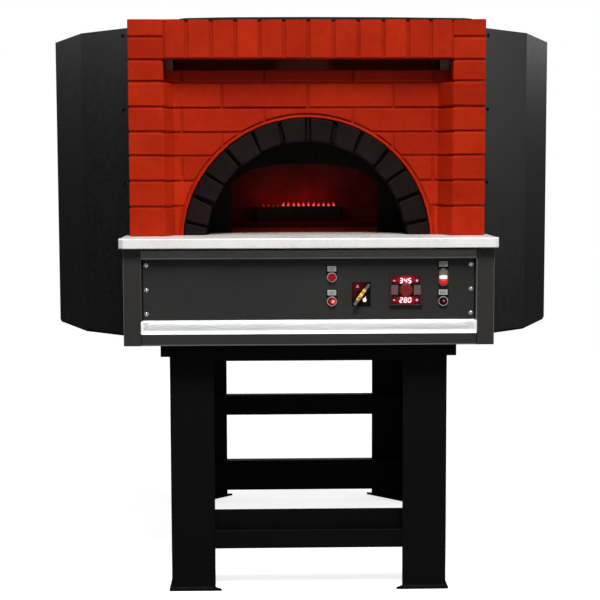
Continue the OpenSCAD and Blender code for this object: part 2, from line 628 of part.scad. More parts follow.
leg_front_left();
leg_front_right();
leg_rear_left();
leg_rear_right();
foot_plates();
front_lower_beam();
rear_lower_beam();
rear_upper_crossbar();
front_top_beam();
rear_top_beam();
side_top_beams();
stand_bolts();
base_pan();
side_panel_left();
side_panel_right();
top_rail();
bottom_rail();
control_panel();
slot_tray();
control_box();
marble_shelf();
dome_screws();
legend_plates();
button_bezels();
red_button();
lit_button();
dark_button();
twin_button_body();
twin_button_upper();
twin_button_lower();
twin_lens();
selector_knob();
controller_case();
controller_displays();
controller_knob();
key_left();
key_right();
contact_blocks();
pillar_left();
pillar_right();
lintel();
recess_wall();
mortar_backing();
voussoirs();
tunnel_lining();
threshold();
mouth_frame();
cladding_left();
cladding_right();
top_cover();
hearth_base();
hearth_tiles();
chamber_wall();
dome();
insulation();
burner();
gas_train();
smoke_hood();
flue_collar();
cable_gland();
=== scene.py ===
import bpy, bmesh, math, random
from mathutils import Vector, Matrix, noise


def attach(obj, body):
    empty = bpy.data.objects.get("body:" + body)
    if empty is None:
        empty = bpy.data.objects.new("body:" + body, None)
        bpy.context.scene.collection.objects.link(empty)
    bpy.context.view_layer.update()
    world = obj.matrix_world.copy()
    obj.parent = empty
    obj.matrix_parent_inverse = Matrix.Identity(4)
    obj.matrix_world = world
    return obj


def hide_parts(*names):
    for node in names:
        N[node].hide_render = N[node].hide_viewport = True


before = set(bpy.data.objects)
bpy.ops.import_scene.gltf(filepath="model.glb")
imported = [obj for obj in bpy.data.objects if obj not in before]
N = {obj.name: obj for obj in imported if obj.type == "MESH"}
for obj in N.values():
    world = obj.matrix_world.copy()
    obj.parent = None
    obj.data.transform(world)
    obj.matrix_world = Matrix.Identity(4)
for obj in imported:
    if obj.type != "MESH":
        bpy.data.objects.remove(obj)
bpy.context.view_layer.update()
OVEN = "oven"
D = 0.900            # the row frame's origin is this far behind the shelf's front edge


def P(x, y, z):
    """Millimetres measured from the shelf's front edge -> metres in the row frame."""
    return Vector((x / 1000, y / 1000 - D, z / 1000))


# ------------------------------------------------------------------ materials
class Mat:
    def __init__(self, name):
        self.m = bpy.data.materials.new(name)
        self.m.use_nodes = True
        self.t = self.m.node_tree
        self.t.nodes.clear()
        self.out = self.n("ShaderNodeOutputMaterial")
        self.b = self.n("ShaderNodeBsdfPrincipled")
        self.link(self.b, 0, self.out, "Surface")
        self.tc = self.n("ShaderNodeTexCoord")

    def n(self, kind, **kw):
        x = self.t.nodes.new(kind)
        for k, v in kw.items():
            setattr(x, k, v)
        return x

    def link(self, a, ao, b, bi):
        self.t.links.new(a.outputs[ao], b.inputs[bi])

    def set(self, **kw):
        for k, v in kw.items():
            s = self.b.inputs[k.replace("_", " ")]
            s.default_value = v if not isinstance(v, tuple) or len(v) != 3 else (*v, 1)
        return self

    def coords(self, scale=(1, 1, 1), rot=(0, 0, 0)):
        mp = self.n("ShaderNodeMapping")
        mp.inputs["Scale"].default_value = scale
        mp.inputs["Rotation"].default_value = rot
        self.link(self.tc, "Object", mp, "Vector")
        return mp

    def noise(self, scale, detail=4, rough=0.55, stretch=(1, 1, 1), dist=0.0):
        x = self.n("ShaderNodeTexNoise")
        x.inputs["Scale"].default_value = scale
        x.inputs["Detail"].default_value = detail
        x.inputs["Roughness"].default_value = rough
        x.inputs["Distortion"].default_value = dist
        self.link(self.coords(stretch), 0, x, "Vector")
        return x

    def ramp(self, src, out, stops):
        r = self.n("ShaderNodeValToRGB")
        e = r.color_ramp.elements
        while len(e) < len(stops):
            e.new(0.5)
        for i, (p, c) in enumerate(stops):
            e[i].position = p
            e[i].color = (*c, 1) if len(c) == 3 else c
        self.link(src, out, r, 0)
        return r

    def rng(self, src, out, a, b, lo, hi):
        r = self.n("ShaderNodeMapRange")
        for i, v in enumerate((a, b, lo, hi)):
            r.inputs[i + 1].default_value = v
        self.link(src, out, r, 0)
        return r

    def mix(self, fac, a, b, mode="MIX"):
        x = self.n("ShaderNodeMix", data_type="RGBA", blend_type=mode)
        for i, v in ((0, fac), (6, a), (7, b)):
            if isinstance(v, tuple) and not isinstance(v[0], (int, float)):
                self.t.links.new(v[0].outputs[v[1]], x.inputs[i])
            else:
                x.inputs[i].default_value = v if isinstance(v, (int, float)) else (*v, 1)
        return x

    def color(self, src, out=0):
        self.link(src, out, self.b, "Base Color")

    def rough(self, src, out=0):
        self.link(src, out, self.b, "Roughness")

    def bump(self, layers):
        """layers: (node, output, strength, distance in metres), from coarse to fine."""
        prev = None
        for node, out, st, dist in layers:
            x = self.n("ShaderNodeBump")
            x.inputs["Strength"].default_value = st
            x.inputs["Distance"].default_value = dist
            self.link(node, out, x, "Height")
            if prev:
                self.link(prev, 0, x, "Normal")
            prev = x
        self.link(prev, 0, self.b, "Normal")


def paint(name, c, rough=(0.35, 0.5), spec=0.4, peel=0.25, dust=0.0, var=0.12, peel_scale=900):
    """Powder-coated sheet: fine orange peel, soft cloudy tone, a little dust."""
    m = Mat(name)
    m.set(Specular_IOR_Level=spec)
    big = m.noise(3.1, 5, 0.6)
    fine = m.noise(peel_scale, 2, 0.5)
    mid = m.noise(60, 4, 0.6)
    lo = tuple(v * (1 - var) for v in c)
    hi = tuple(v * (1 + var) + dust for v in c)
    col = m.ramp(big, "Fac", [(0.3, lo), (0.7, hi)])
    sp = m.ramp(mid, "Fac", [(0.35, (0.93,) * 3), (0.7, (1.06,) * 3)])
    m.color(m.mix(1.0, (col, 0), (sp, 0), "MULTIPLY"), 2)
    m.rough(m.rng(mid, "Fac", 0.3, 0.7, rough[0], rough[1]))
    m.bump([(fine, "Fac", peel, 0.0004)])
    return m.m


def brushed(name, c, rough=(0.22, 0.38), stretch=(1.5, 160, 160), heat=0.0):
    m = Mat(name)
    m.set(Metallic=1.0)
    a = m.noise(8, 6, 0.7, stretch)
    b = m.noise(2.2, 4, 0.6)
    col = m.ramp(a, "Fac", [(0.3, tuple(v * 0.88 for v in c)), (0.7, tuple(min(1, v * 1.08) for v in c))])
    tint = m.ramp(b, "Fac", [(0.35, (0.94, 0.95, 0.97)), (0.7, (1, 1, 0.98))])
    m.color(m.mix(1.0, (col, 0), (tint, 0), "MULTIPLY"), 2)
    m.rough(m.rng(a, "Fac", 0.25, 0.75, rough[0], rough[1]))
    m.bump([(a, "Fac", 0.12, 0.0003)])
    return m.m


def plastic(name, c, rough=0.3, spec=0.5, coat=0.0, grain=0.1, emit=None, var=0.08):
    m = Mat(name)
    m.set(Specular_IOR_Level=spec)
    if coat:
        m.set(Coat_Weight=coat, Coat_Roughness=0.08)
    a = m.noise(220, 3, 0.6)
    f = m.noise(2600, 2, 0.5)
    col = m.ramp(a, "Fac", [(0.3, tuple(v * (1 - var) for v in c)), (0.7, tuple(v * (1 + var) for v in c))])
    m.color(col)
    m.rough(m.rng(a, "Fac", 0.3, 0.7, rough * 0.85, rough * 1.15))
    m.bump([(f, "Fac", grain, 0.0001)])
    if emit:
        m.set(Emission_Color=tuple(emit[0]), Emission_Strength=emit[1])
    return m.m


def stone(name, stops, scale=14, rough=(0.75, 0.95), bump=0.5, pit=0.4, spec=0.3, fine=420):
    m = Mat(name)
    m.set(Specular_IOR_Level=spec)
    a = m.noise(scale, 6, 0.62)
    g = m.noise(fine, 3, 0.6)
    v = m.n("ShaderNodeTexVoronoi")
    v.inputs["Scale"].default_value = fine * 0.35
    m.link(m.coords(), 0, v, "Vector")
    col = m.ramp(a, "Fac", stops)
    sp = m.ramp(g, "Fac", [(0.35, (0.86,) * 3), (0.65, (1.08,) * 3)])
    m.color(m.mix(1.0, (col, 0), (sp, 0), "MULTIPLY"), 2)
    m.rough(m.rng(g, "Fac", 0.3, 0.7, rough[0], rough[1]))
    pits = m.rng(v, "Distance", 0.0, 0.35, 0.0, 1.0)
    m.bump([(a, "Fac", bump, 0.002), (pits, 0, pit, 0.0006), (g, "Fac", bump, 0.0006)])
    return m.m


def brick_mat(name, tone=1.0):
    """Orange-red painted brick: cloudy tone from brick to brick, fine sandy bump."""
    m = Mat(name)
    m.set(Specular_IOR_Level=0.06)
    at = m.n("ShaderNodeAttribute", attribute_name="tone")
    big = m.noise(7, 5, 0.6)
    mid = m.noise(55, 5, 0.65)
    fin = m.noise(650, 3, 0.6)
    base = m.ramp(big, "Fac", [(0.28, (0.33 * tone, 0.0125 * tone, 0.0016 * tone)), (0.52, (0.385 * tone, 0.0165 * tone, 0.0022 * tone)), (0.75, (0.43 * tone, 0.0215 * tone, 0.0034 * tone))])
    per = m.ramp(at, "Fac", [(0.0, (0.86, 0.80, 0.80)), (1.0, (1.08, 1.16, 1.10))])
    c1 = m.mix(1.0, (base, 0), (per, 0), "MULTIPLY")
    spk = m.ramp(mid, "Fac", [(0.3, (0.88,) * 3), (0.7, (1.07,) * 3)])
    c2 = m.mix(1.0, (c1, 2), (spk, 0), "MULTIPLY")
    m.color(c2, 2)
    m.rough(m.rng(mid, "Fac", 0.3, 0.7, 0.5, 0.68))
    m.bump([(mid, "Fac", 0.25, 0.0016), (fin, "Fac", 0.22, 0.0004)])
    return m.m


BRICK = brick_mat("brick_paint")
# joint bed: the brick paint at 0.9 tone, darker as painted shade in the recessed joints
JOINT_PAINTED_SHADE = brick_mat("brick_joint", 0.9)
ARCH = stone("arch_stone", [(0.3, (0.0058, 0.0028, 0.0027)), (0.5, (0.0086, 0.0043, 0.0040)), (0.72, (0.0130, 0.0070, 0.0064))], 16, (0.6, 0.8), 0.5, 0.35, 0.08)
ARCH_JOINT = stone("arch_joint", [(0.3, (0.003, 0.002, 0.002)), (0.7, (0.006, 0.004, 0.0035))], 30, (0.85, 0.98), 0.5, 0.5, 0.1)
TUNNEL = stone("tunnel_refractory", [(0.3, (0.0045, 0.0032, 0.0026)), (0.7, (0.010, 0.007, 0.0055))], 11, (0.8, 0.97), 0.6, 0.5, 0.1)
REFR = stone("chamber_refractory", [(0.3, (0.055, 0.030, 0.022)), (0.55, (0.11, 0.062, 0.046)), (0.75, (0.17, 0.10, 0.075))], 6, (0.8, 0.95), 0.6, 0.5, 0.2)
THRESH = stone("threshold_stone", [(0.3, (0.36, 0.31, 0.25)), (0.55, (0.46, 0.42, 0.36)), (0.75, (0.56, 0.52, 0.46))], 18, (0.55, 0.75), 0.3, 0.3, 0.3)
INSUL = stone("insulating_fill", [(0.3, (0.52, 0.50, 0.45)), (0.7, (0.72, 0.70, 0.64))], 25, (0.9, 1.0), 0.8, 0.7, 0.1)
JACKET = paint("jacket_coat", (0.0042, 0.0042, 0.0043), (0.34, 0.44), 0.42, 0.2)
STAND = paint("stand_coat", (0.0024, 0.0024, 0.0024), (0.5, 0.65), 0.10, 0.3, var=0.2)
BOX = paint("box_coat", (0.029, 0.0275, 0.026), (0.4, 0.5), 0.3, 0.2)
# top rail: light grey, partly the rail's own lighter tone, mostly painted light so the rail reads lit in the shelf's
# shadow
RAIL_PAINTED_LIGHTER = paint("rail_coat_painted_lighter", (0.185, 0.174, 0.162), (0.36, 0.46), 0.35, 0.2)
PANEL = paint("panel_coat", (0.026, 0.025, 0.024), (0.42, 0.52), 0.25, 0.18)
ZINC = brushed("galvanised", (0.42, 0.43, 0.44), (0.4, 0.55), (20, 20, 20))
STEEL = brushed("stainless", (0.90, 0.90, 0.892), (0.20, 0.32), (1.2, 140, 140))
# smoke hood: near-black with a red cast, painted shade of the slot under the lintel and a painted reddish reflection
# of the bricks
HOOD_PAINTED_SHADE = paint("hood_painted_shade_and_reflection", (0.018, 0.0042, 0.0032), (0.8, 0.95), 0.01, 0.3)
TRAYM = brushed("satin_tray", (0.88, 0.88, 0.872), (0.34, 0.46), (1.2, 140, 140))
TRAYM.node_tree.nodes["Principled BSDF"].inputs["Metallic"].default_value = 0.45
BURN = brushed("burner_steel", (0.16, 0.13, 0.11), (0.4, 0.6), (2, 40, 40))
CHROME = brushed("bezel_metal", (0.84, 0.83, 0.82), (0.14, 0.24), (40, 40, 40))
SCREW = brushed("screw_metal", (0.74, 0.74, 0.75), (0.16, 0.28), (60, 60, 60))
BRASS = brushed("brass_fitting", (0.62, 0.42, 0.16), (0.28, 0.42), (30, 30, 30))
BLACKP = plastic("black_plastic", (0.0028, 0.0026, 0.0026), 0.42, 0.14, 0, 0.3)
FACE = plastic("controller_face", (0.012, 0.006, 0.006), 0.25, 0.45, 0.2, 0.05)
REDP = plastic("red_cap", (0.34, 0.0035, 0.012), 0.3, 0.22, 0.0, 0.05)
DARKRED = plastic("dark_red_cap", (0.03, 0.002, 0.006), 0.15, 0.5, 0.6, 0.05)
GREENP = plastic("green_grey_cap", (0.155, 0.135, 0.105), 0.28, 0.5, 0.3, 0.08)
KEYP = plastic("grey_key", (0.150, 0.088, 0.080), 0.5, 0.25, 0, 0.35)
# knob: dark red-brown plastic with a faint red emission, a painted reflection of the displays' red light
KNOB_PAINTED_RED_REFLECTION = plastic("knob_plastic", (0.060, 0.010, 0.008), 0.36, 0.25, 0, 0.15, ((1.0, 0.05, 0.05), 0.105))
LABELP = plastic("legend_silver", (0.47, 0.465, 0.455), 0.42, 0.3, 0, 0.25)
MARKP = plastic("legend_mark", (0.055, 0.055, 0.058), 0.5, 0.3, 0, 0.1)


def emitter(name, c, strength, base=(0.02, 0.002, 0.002)):
    m = Mat(name)
    m.set(Emission_Color=c, Emission_Strength=strength)
    a = m.noise(900, 2, 0.5)
    m.color(m.ramp(a, "Fac", [(0.3, tuple(v * 0.8 for v in base)), (0.7, tuple(v * 1.2 for v in base))]))
    m.set(Roughness=0.3)
    return m.m


def marble():
    m = Mat("marble")
    m.set(Specular_IOR_Level=0.5, Coat_Weight=0.25, Coat_Roughness=0.12)
    w = m.noise(3.0, 6, 0.6, (1, 1.6, 1), 1.2)
    w2 = m.noise(11, 6, 0.62, (1, 1, 1), 0.8)
    f = m.noise(160, 4, 0.6)
    v = m.ramp(w, "Fac", [(0.40, (0.91, 0.90, 0.875)), (0.485, (0.89, 0.88, 0.855)), (0.50, (0.835, 0.83, 0.815)), (0.515, (0.89, 0.88, 0.855)), (0.62, (0.93, 0.92, 0.895))])
    s = m.ramp(w2, "Fac", [(0.35, (0.96,) * 3), (0.7, (1.0,) * 3)])
    g = m.ramp(f, "Fac", [(0.3, (0.97,) * 3), (0.7, (1.0,) * 3)])
    a = m.mix(1.0, (v, 0), (s, 0), "MULTIPLY")
    b = m.mix(1.0, (a, 2), (g, 0), "MULTIPLY")
    m.color(b, 2)
    m.rough(m.rng(w2, "Fac", 0.3, 0.7, 0.22, 0.36))
    m.bump([(f, "Fac", 0.05, 0.0003)])
    return m.m


MARBLE = marble()


def hearth_mat():
    """Fire-clay tiles: warm red-brown in the two front rows as a painted glow of the fire, dark behind as painted
    shade.
    """
    m = Mat("hearth_tiles_clay")
    m.set(Specular_IOR_Level=0.25)
    a = m.noise(9, 6, 0.65)
    g = m.noise(380, 3, 0.6)
    sep = m.n("ShaderNodeSeparateXYZ")
    m.link(m.tc, "Object", sep, 0)
    edge = m.n("ShaderNodeMath", operation="ADD")
    m.link(sep, "Y", edge, 0)
    wob = m.rng(a, "Fac", 0.3, 0.7, -0.012, 0.012)
    m.link(wob, 0, edge, 1)
    # the front rows get a warm red standing in for the fire's glow, the rows behind a dark colour standing in for
    # shade
    back = m.rng(edge, 0, -0.045, -0.020, 0.0, 1.0)
    front = m.ramp(a, "Fac", [(0.3, (0.30, 0.06, 0.032)), (0.7, (0.42, 0.10, 0.055))])
    rear_painted_shade = m.ramp(a, "Fac", [(0.3, (0.05, 0.026, 0.020)), (0.7, (0.10, 0.055, 0.042))])
    c = m.mix((back, 0), (front, 0), (rear_painted_shade, 0))
    m.color(c, 2)
    m.rough(m.rng(g, "Fac", 0.3, 0.7, 0.6, 0.85))
    m.bump([(a, "Fac", 0.4, 0.0015), (g, "Fac", 0.4, 0.0005)])
    return m.m


HEARTH = hearth_mat()


def flame_mat(name, stops, strength):
    m = Mat(name)
    sep = m.n("ShaderNodeSeparateXYZ")
    m.link(m.tc, "Object", sep, 0)
    t = m.rng(sep, "Z", 1.149, 1.174, 0.0, 1.0)
    c = m.ramp(t, 0, stops)
    m.link(c, 0, m.b, "Emission Color")
    m.set(Emission_Strength=strength, Base_Color=(0.02, 0.002, 0.001), Roughness=0.6)
    return m.m


FLAME = flame_mat("flame", [(0.0, (0.55, 0.02, 0.015)), (0.22, (1.0, 0.10, 0.09)), (0.5, (0.95, 0.03, 0.02)), (1.0, (0.16, 0.003, 0.003))], 1.0)
FLAME_LOW = flame_mat("flame_low", [(0.0, (0.30, 0.006, 0.006)), (0.4, (0.20, 0.003, 0.003)), (1.0, (0.06, 0.002, 0.002))], 1.0)


def window_mat(name, cx, cz, w, h):
    """Dark red display window that glows softly round its lit figures."""
    m = Mat(name)
    m.set(Specular_IOR_Level=0.12, Roughness=0.2)
    sep = m.n("ShaderNodeSeparateXYZ")
    m.link(m.tc, "Object", sep, 0)
    dx = m.n("ShaderNodeMath", operation="SUBTRACT"); m.link(sep, "X", dx, 0); dx.inputs[1].default_value = cx
    dz0 = m.n("ShaderNodeMath", operation="SUBTRACT"); m.link(sep, "Z", dz0, 0); dz0.inputs[1].default_value = cz
    dza = m.n("ShaderNodeMath", operation="ABSOLUTE"); m.link(dz0, 0, dza, 0)
    dz = m.n("ShaderNodeMath", operation="SUBTRACT"); m.link(dza, 0, dz, 0); dz.inputs[1].default_value = 0.030
    ax = m.n("ShaderNodeMath", operation="MULTIPLY"); m.link(dx, 0, ax, 0); ax.inputs[1].default_value = 1 / w
    az = m.n("ShaderNodeMath", operation="MULTIPLY"); m.link(dz, 0, az, 0); az.inputs[1].default_value = 1 / h
    cmb = m.n("ShaderNodeCombineXYZ"); m.link(ax, 0, cmb, 0); m.link(az, 0, cmb, 1)
    ln = m.n("ShaderNodeVectorMath", operation="LENGTH"); m.link(cmb, 0, ln, 0)
    g = m.ramp(ln, "Value", [(0.0, (0.85, 0.010, 0.045)), (0.34, (0.52, 0.004, 0.024)), (0.62, (0.11, 0.001, 0.006)), (1.0, (0.022, 0.0004, 0.0014))])
    m.link(g, 0, m.b, "Emission Color")
    nz = m.noise(500, 2, 0.5)
    m.color(m.ramp(nz, "Fac", [(0.3, (0.006, 0.0006, 0.0008)), (0.7, (0.010, 0.0008, 0.0012))]))
    m.set(Emission_Strength=0.8)
    return m.m


# ------------------------------------------------------------------ mesh help
def obj_from(bm, name, mats, body=OVEN, smooth=35, weighted=True, replaces=()):
    me = bpy.data.meshes.new(name)
    bmesh.ops.recalc_face_normals(bm, faces=bm.faces)
    bm.to_mesh(me)
    bm.free()
    for m in (mats if isinstance(mats, (list, tuple)) else [mats]):
        me.materials.append(m)
    if smooth:
        for p in me.polygons:
            p.use_smooth = True
        me.set_sharp_from_angle(angle=math.radians(smooth))
    o = bpy.data.objects.new(name, me)
    bpy.context.scene.collection.objects.link(o)
    if weighted and smooth:
        w = o.modifiers.new("wn", "WEIGHTED_NORMAL")
        w.keep_sharp = True
    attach(o, body)
    if replaces:
        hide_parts(*replaces)
    return o


def solid(dst, loop_a, loop_b, bevel=0.0, seg=3, keep=lambda e: True, wob=0.0, cut=0.0, seed=0, mat=0, tone=None, shift=None):
    """A closed prism between two matching loops, edges rounded, with a slight hand-made wobble."""
    t = bmesh.new()
    a = [t.verts.new(v) for v in loop_a]
    b = [t.verts.new(v) for v in loop_b]
    n = len(a)
    t.faces.new(a)
    t.faces.new(b[::-1])
    for i in range(n):
        t.faces.new((a[i], b[i], b[(i + 1) % n], a[(i + 1) % n]))
    bmesh.ops.recalc_face_normals(t, faces=t.faces)
    sel = [e for e in t.edges if keep(e) and e.calc_face_angle(0) > 0.3]
    if cut:
        long_e = [e for e in t.edges if e.calc_length() > cut * 1.5]
        tag = set()
        for e in sel:
            e.tag = True
        for e in long_e:
            bmesh.ops.subdivide_edges(t, edges=[e], cuts=max(1, int(e.calc_length() / cut)))
        sel = [e for e in t.edges if keep(e) and len(e.link_faces) == 2 and e.calc_face_angle(0) > 0.3]
    if bevel:
        bmesh.ops.bevel(t, geom=sel, offset=bevel, offset_type="OFFSET", segments=seg, profile=0.62, affect="EDGES", clamp_overlap=True)
    rnd = random.Random(seed)
    off = Vector((rnd.uniform(-50, 50), rnd.uniform(-50, 50), rnd.uniform(-50, 50)))
    if wob:
        for v in t.verts:
            v.co += noise.noise_vector(v.co * 17 + off) * wob + noise.noise_vector(v.co * 60 + off) * wob * 0.3
    if shift is not None:
        for v in t.verts:
            v.co += shift
    for f in t.faces:
        f.material_index = mat
    lay = dst.verts.layers.float.get("tone") or dst.verts.layers.float.new("tone")
    tn = rnd.random() if tone is None else tone
    vm = {}
    for v in t.verts:
        nv = dst.verts.new(v.co)
        nv[lay] = tn
        vm[v] = nv
    for f in t.faces:
        try:
            nf = dst.faces.new([vm[v] for v in f.verts])
            nf.material_index = mat
        except ValueError:
            pass
    t.free()


def box(dst, x0, y0, z0, x1, y1, z1, **kw):
    a = [P(x0, y0, z0), P(x1, y0, z0), P(x1, y0, z1), P(x0, y0, z1)]
    b = [P(x0, y1, z0), P(x1, y1, z0), P(x1, y1, z1), P(x0, y1, z1)]
    solid(dst, a, b, **kw)


def lathe(dst, x, z, prof, seg=48, mat=0, yref=45, tone=0.5):
    """Revolve (radius, height towards the front) about the Y axis through x, z. Millimetres."""
    lay = dst.verts.layers.float.get("tone") or dst.verts.layers.float.new("tone")
    rings = []
    for r, h in prof:
        if r < 1e-6:
            v = dst.verts.new(P(x, yref - h, z)); v[lay] = tone
            rings.append([v])
        else:
            ring = []
            for i in range(seg):
                a = 2 * math.pi * i / seg
                v = dst.verts.new(P(x + r * math.cos(a), yref - h, z + r * math.sin(a))); v[lay] = tone
                ring.append(v)
            rings.append(ring)
    for p, q in zip(rings, rings[1:]):
        for i in range(seg):
            j = (i + 1) % seg
            if len(p) == 1 and len(q) == 1:
                continue
            if len(p) == 1:
                f = dst.faces.new((p[0], q[j], q[i]))
            elif len(q) == 1:
                f = dst.faces.new((p[i], p[j], q[0]))
            else:
                f = dst.faces.new((p[i], p[j], q[j], q[i]))
            f.material_index = mat


def finish_cad(name, material, bevel=0.0, seg=2, extra=()):
    o = N[name]
    o.data.materials.clear()
    o.data.materials.append(material)
    for m in extra:
        o.data.materials.append(m)
    if bevel:
        w = o.modifiers.new("weld", "WELD")
        w.merge_threshold = 0.00002
        b = o.modifiers.new("bevel", "BEVEL")
        b.width = bevel
        b.segments = seg
        b.limit_method = "ANGLE"
        b.angle_limit = math.radians(35)
        b.harden_normals = False
        b.use_clamp_overlap = True
        k = o.modifiers.new("wn", "WEIGHTED_NORMAL")
        k.keep_sharp = False
    return o


def circle_cut(x0, z0, x1, z1, R, cz):
    """The rectangle less the disc of radius R at (0, cz): a list of outlines, millimetres."""
    def inside(x, z):
        return x * x + (z - cz) ** 2 < R * R - 1e-6
    pts = []
    step = 4.0
    def edge(ax, az, bx, bz):
        n = max(2, int(math.hypot(bx - ax, bz - az) / 1.0))
        return [(ax + (bx - ax) * i / n, az + (bz - az) * i / n) for i in range(n)]
    ring = edge(x0, z0, x1, z0) + edge(x1, z0, x1, z1) + edge(x1, z1, x0, z1) + edge(x0, z1, x0, z0)
    flags = [inside(*p) for p in ring]
    if not any(flags):
        return [[(x0, z0), (x1, z0), (x1, z1), (x0, z1)]]
    if all(flags):
        return []
    n = len(ring)
    start = next(i for i in range(n) if flags[i - 1] and not flags[i])
    runs, cur = [], []
    for k in range(n):
        i = (start + k) % n
        if not flags[i]:
            cur.append(ring[i])
        elif cur:
            runs.append(cur); cur = []
    if cur:
        runs.append(cur)
    outs = []
    for run in runs:
        if len(run) < 6:
            continue
        # keep corners and ends only
        keep = [run[0]]
        for p, q, r in zip(run, run[1:], run[2:]):
            if abs((q[0] - p[0]) * (r[1] - q[1]) - (q[1] - p[1]) * (r[0] - q[0])) > 1e-6:
                keep.append(q)
        keep.append(run[-1])
        def snap(p):
            a = math.atan2(p[1] - cz, p[0])
            return a
        a_end, a_start = snap(run[-1]), snap(run[0])
        m = max(2, int(abs(a_end - a_start) * R / 12))
        arc = [(R * math.cos(a_end + (a_start - a_end) * i / m), cz + R * math.sin(a_end + (a_start - a_end) * i / m)) for i in range(0, m + 1)]
        outs.append(keep[1:-1] + arc if len(keep) > 2 else keep + arc)
    return outs


# ------------------------------------------------------------------ brick front
C = [1089, 1179, 1257, 1334, 1406.5, 1481, 1558, 1622.5, 1691, 1745]
FY, WY, CY, TOP = 172.0, 242.0, 272.0, 1745.0
G = 3.4      # half joint
front = lambda y: (lambda e: max(v.co.y for v in e.verts) < y / 1000 - D)


def pillar(s, name, node):
    bm = bmesh.new()
    for i in range(9):
        z0 = C[i] + (0.3 if i == 0 else G); z1 = C[i + 1] - (0 if i == 8 else G)
        xi, xs_ = (437.5, 410.5) if s < 0 else (444.5, 407.0)
        pl = [(xi, FY), (544, FY), (544, CY), (xs_, CY), (xs_, WY)] if i < 6 else [(xi, FY), (544, FY), (544, CY), (xi, CY)]
        rnd = random.Random(100 * s + i)
        dx, dy = rnd.uniform(-0.7, 0.7), rnd.uniform(0, 1.2)
        pl = [(s * (x + (dx if x < 500 else 0)), y + (dy if y < 200 else 0)) for x, y in pl]
        a = [P(x, y, z0) for x, y in pl]; b = [P(x, y, z1) for x, y in pl]
        solid(bm, a, b, bevel=0.0046, seg=3, wob=0.0007, cut=0.036, seed=7 * i + (3 if s > 0 else 50), keep=lambda e: min(v.co.y for v in e.verts) < (CY - 4) / 1000 - D)
    o = obj_from(bm, name, BRICK, replaces=(node,))
    return o


pillar(-1, "brick_pillar_left", "pillar_left")
pillar(1, "brick_pillar_right", "pillar_right")

bm = bmesh.new()
LJ = [-437.5, -366, -292, -217.5, -145, -71, 3.5, 79, 155, 231, 305.5, 375.5, 444.5]
for i in range(12):
    rnd = random.Random(900 + i)
    x0 = LJ[i] + 5.0; x1 = LJ[i + 1] - 5.0
    y0 = FY + rnd.uniform(0, 1.3)
    box(bm, x0, y0, 1628.4, x1, 232, TOP - 0.3, bevel=0.0046, seg=3, wob=0.0006, cut=0.036, seed=300 + i,
        keep=lambda e: min(v.co.z for v in e.verts) < 1.74 or max(v.co.y for v in e.verts) < (FY + 3) / 1000 - D)
obj_from(bm, "brick_lintel", BRICK, replaces=("lintel",))

bm = bmesh.new()
RIM = 393.5
AZ = 1066.0
for i in range(7):
    z0 = C[i] + (0.2 if i == 0 else G); z1 = min(C[i + 1], 1597) - (0.3 if i == 6 else G)
    e0, e1 = (-442, 449) if i == 6 else (-414, 411)
    xs = [e0, -262, 4, 268, e1] if i % 2 else [e0, -386, -131, 143, 391, e1]
    for j in range(len(xs) - 1):
        x0 = xs[j] + (0.3 if j == 0 else G); x1 = xs[j + 1] - (0.3 if j == len(xs) - 2 else G)
        rnd = random.Random(1000 + 10 * i + j)
        yy = WY + rnd.uniform(-0.2, 0.9)
        for k, poly in enumerate(circle_cut(x0, z0, x1, z1, RIM + 5.0, AZ)):
            a = [P(x, yy, z) for x, z in poly]; b = [P(x, WY + 16, z) for x, z in poly]
            solid(bm, a, b, bevel=0.0038, seg=3, wob=0.0005, cut=0.04, seed=1000 + 10 * i + j, tone=rnd.random(),
                  keep=lambda e: min(v.co.y for v in e.verts) < (WY + 3) / 1000 - D)
# painted rim round the arch stones
lay = bm.verts.layers.float.get("tone") or bm.verts.layers.float.new("tone")
prof = [(RIM - 0.2, WY + 12), (RIM - 0.3, WY + 2.0), (RIM - 1.2, WY - 0.4), (RIM - 3.0, WY - 1.8), (RIM - 5.2, WY - 2.0), (RIM - 7.0, WY - 1.0), (RIM - 8.0, WY + 1.6), (RIM - 8.4, WY + 12)]
a0 = math.asin(23.2 / (RIM - 4))
rows = []
for i in range(121):
    a = a0 + (math.pi - 2 * a0) * i / 120
    row = []
    for r, y in prof:
        rr = r + 0.5 * math.sin(i * 0.9) * math.sin(i * 0.31)
        v = bm.verts.new(P(rr * math.cos(a), y, max(1089.2, AZ + rr * math.sin(a)))); v[lay] = 0.55 + 0.25 * math.sin(i * 0.21)
        row.append(v)
    rows.append(row)
for p, q in zip(rows, rows[1:]):
    for k in range(len(prof) - 1):
        bm.faces.new((p[k], q[k], q[k + 1], p[k + 1]))
obj_from(bm, "brick_recess_wall", BRICK, replaces=("recess_wall",))

# joints: a set-back bed behind every brick, painted a little darker than the bricks as painted shade in the joints
bm = bmesh.new()
for s in (-1, 1):
    for i in range(9):
        xi, xs_ = (442, 415) if s < 0 else (449, 411.5)
        pl = [(xi, FY + 5), (539.5, FY + 5), (539.5, CY), (xs_, CY), (xs_, WY + 4)] if i < 6 else [(xi, FY + 5), (539.5, FY + 5), (539.5, CY), (xi, CY)]
        z0, z1 = C[i], C[i + 1] - (0.6 if i == 8 else 0)
        solid(bm, [P(s * x, y, z0) for x, y in pl], [P(s * x, y, z1) for x, y in pl], tone=0.4)
box(bm, -440, FY + 5.6, 1628.8, 447, 227, TOP - 0.6, tone=0.35)
for i in range(7):
    z0, z1 = C[i], min(C[i + 1], 1597)
    for poly in circle_cut(-441 if i == 6 else -416, z0, 448 if i == 6 else 413, z1, RIM - 1, AZ):
        solid(bm, [P(x, WY + 4.8, z) for x, z in poly], [P(x, CY - 1, z) for x, z in poly], tone=0.4)
obj_from(bm, "brick_joints", JOINT_PAINTED_SHADE, smooth=0, replaces=("mortar_backing",))

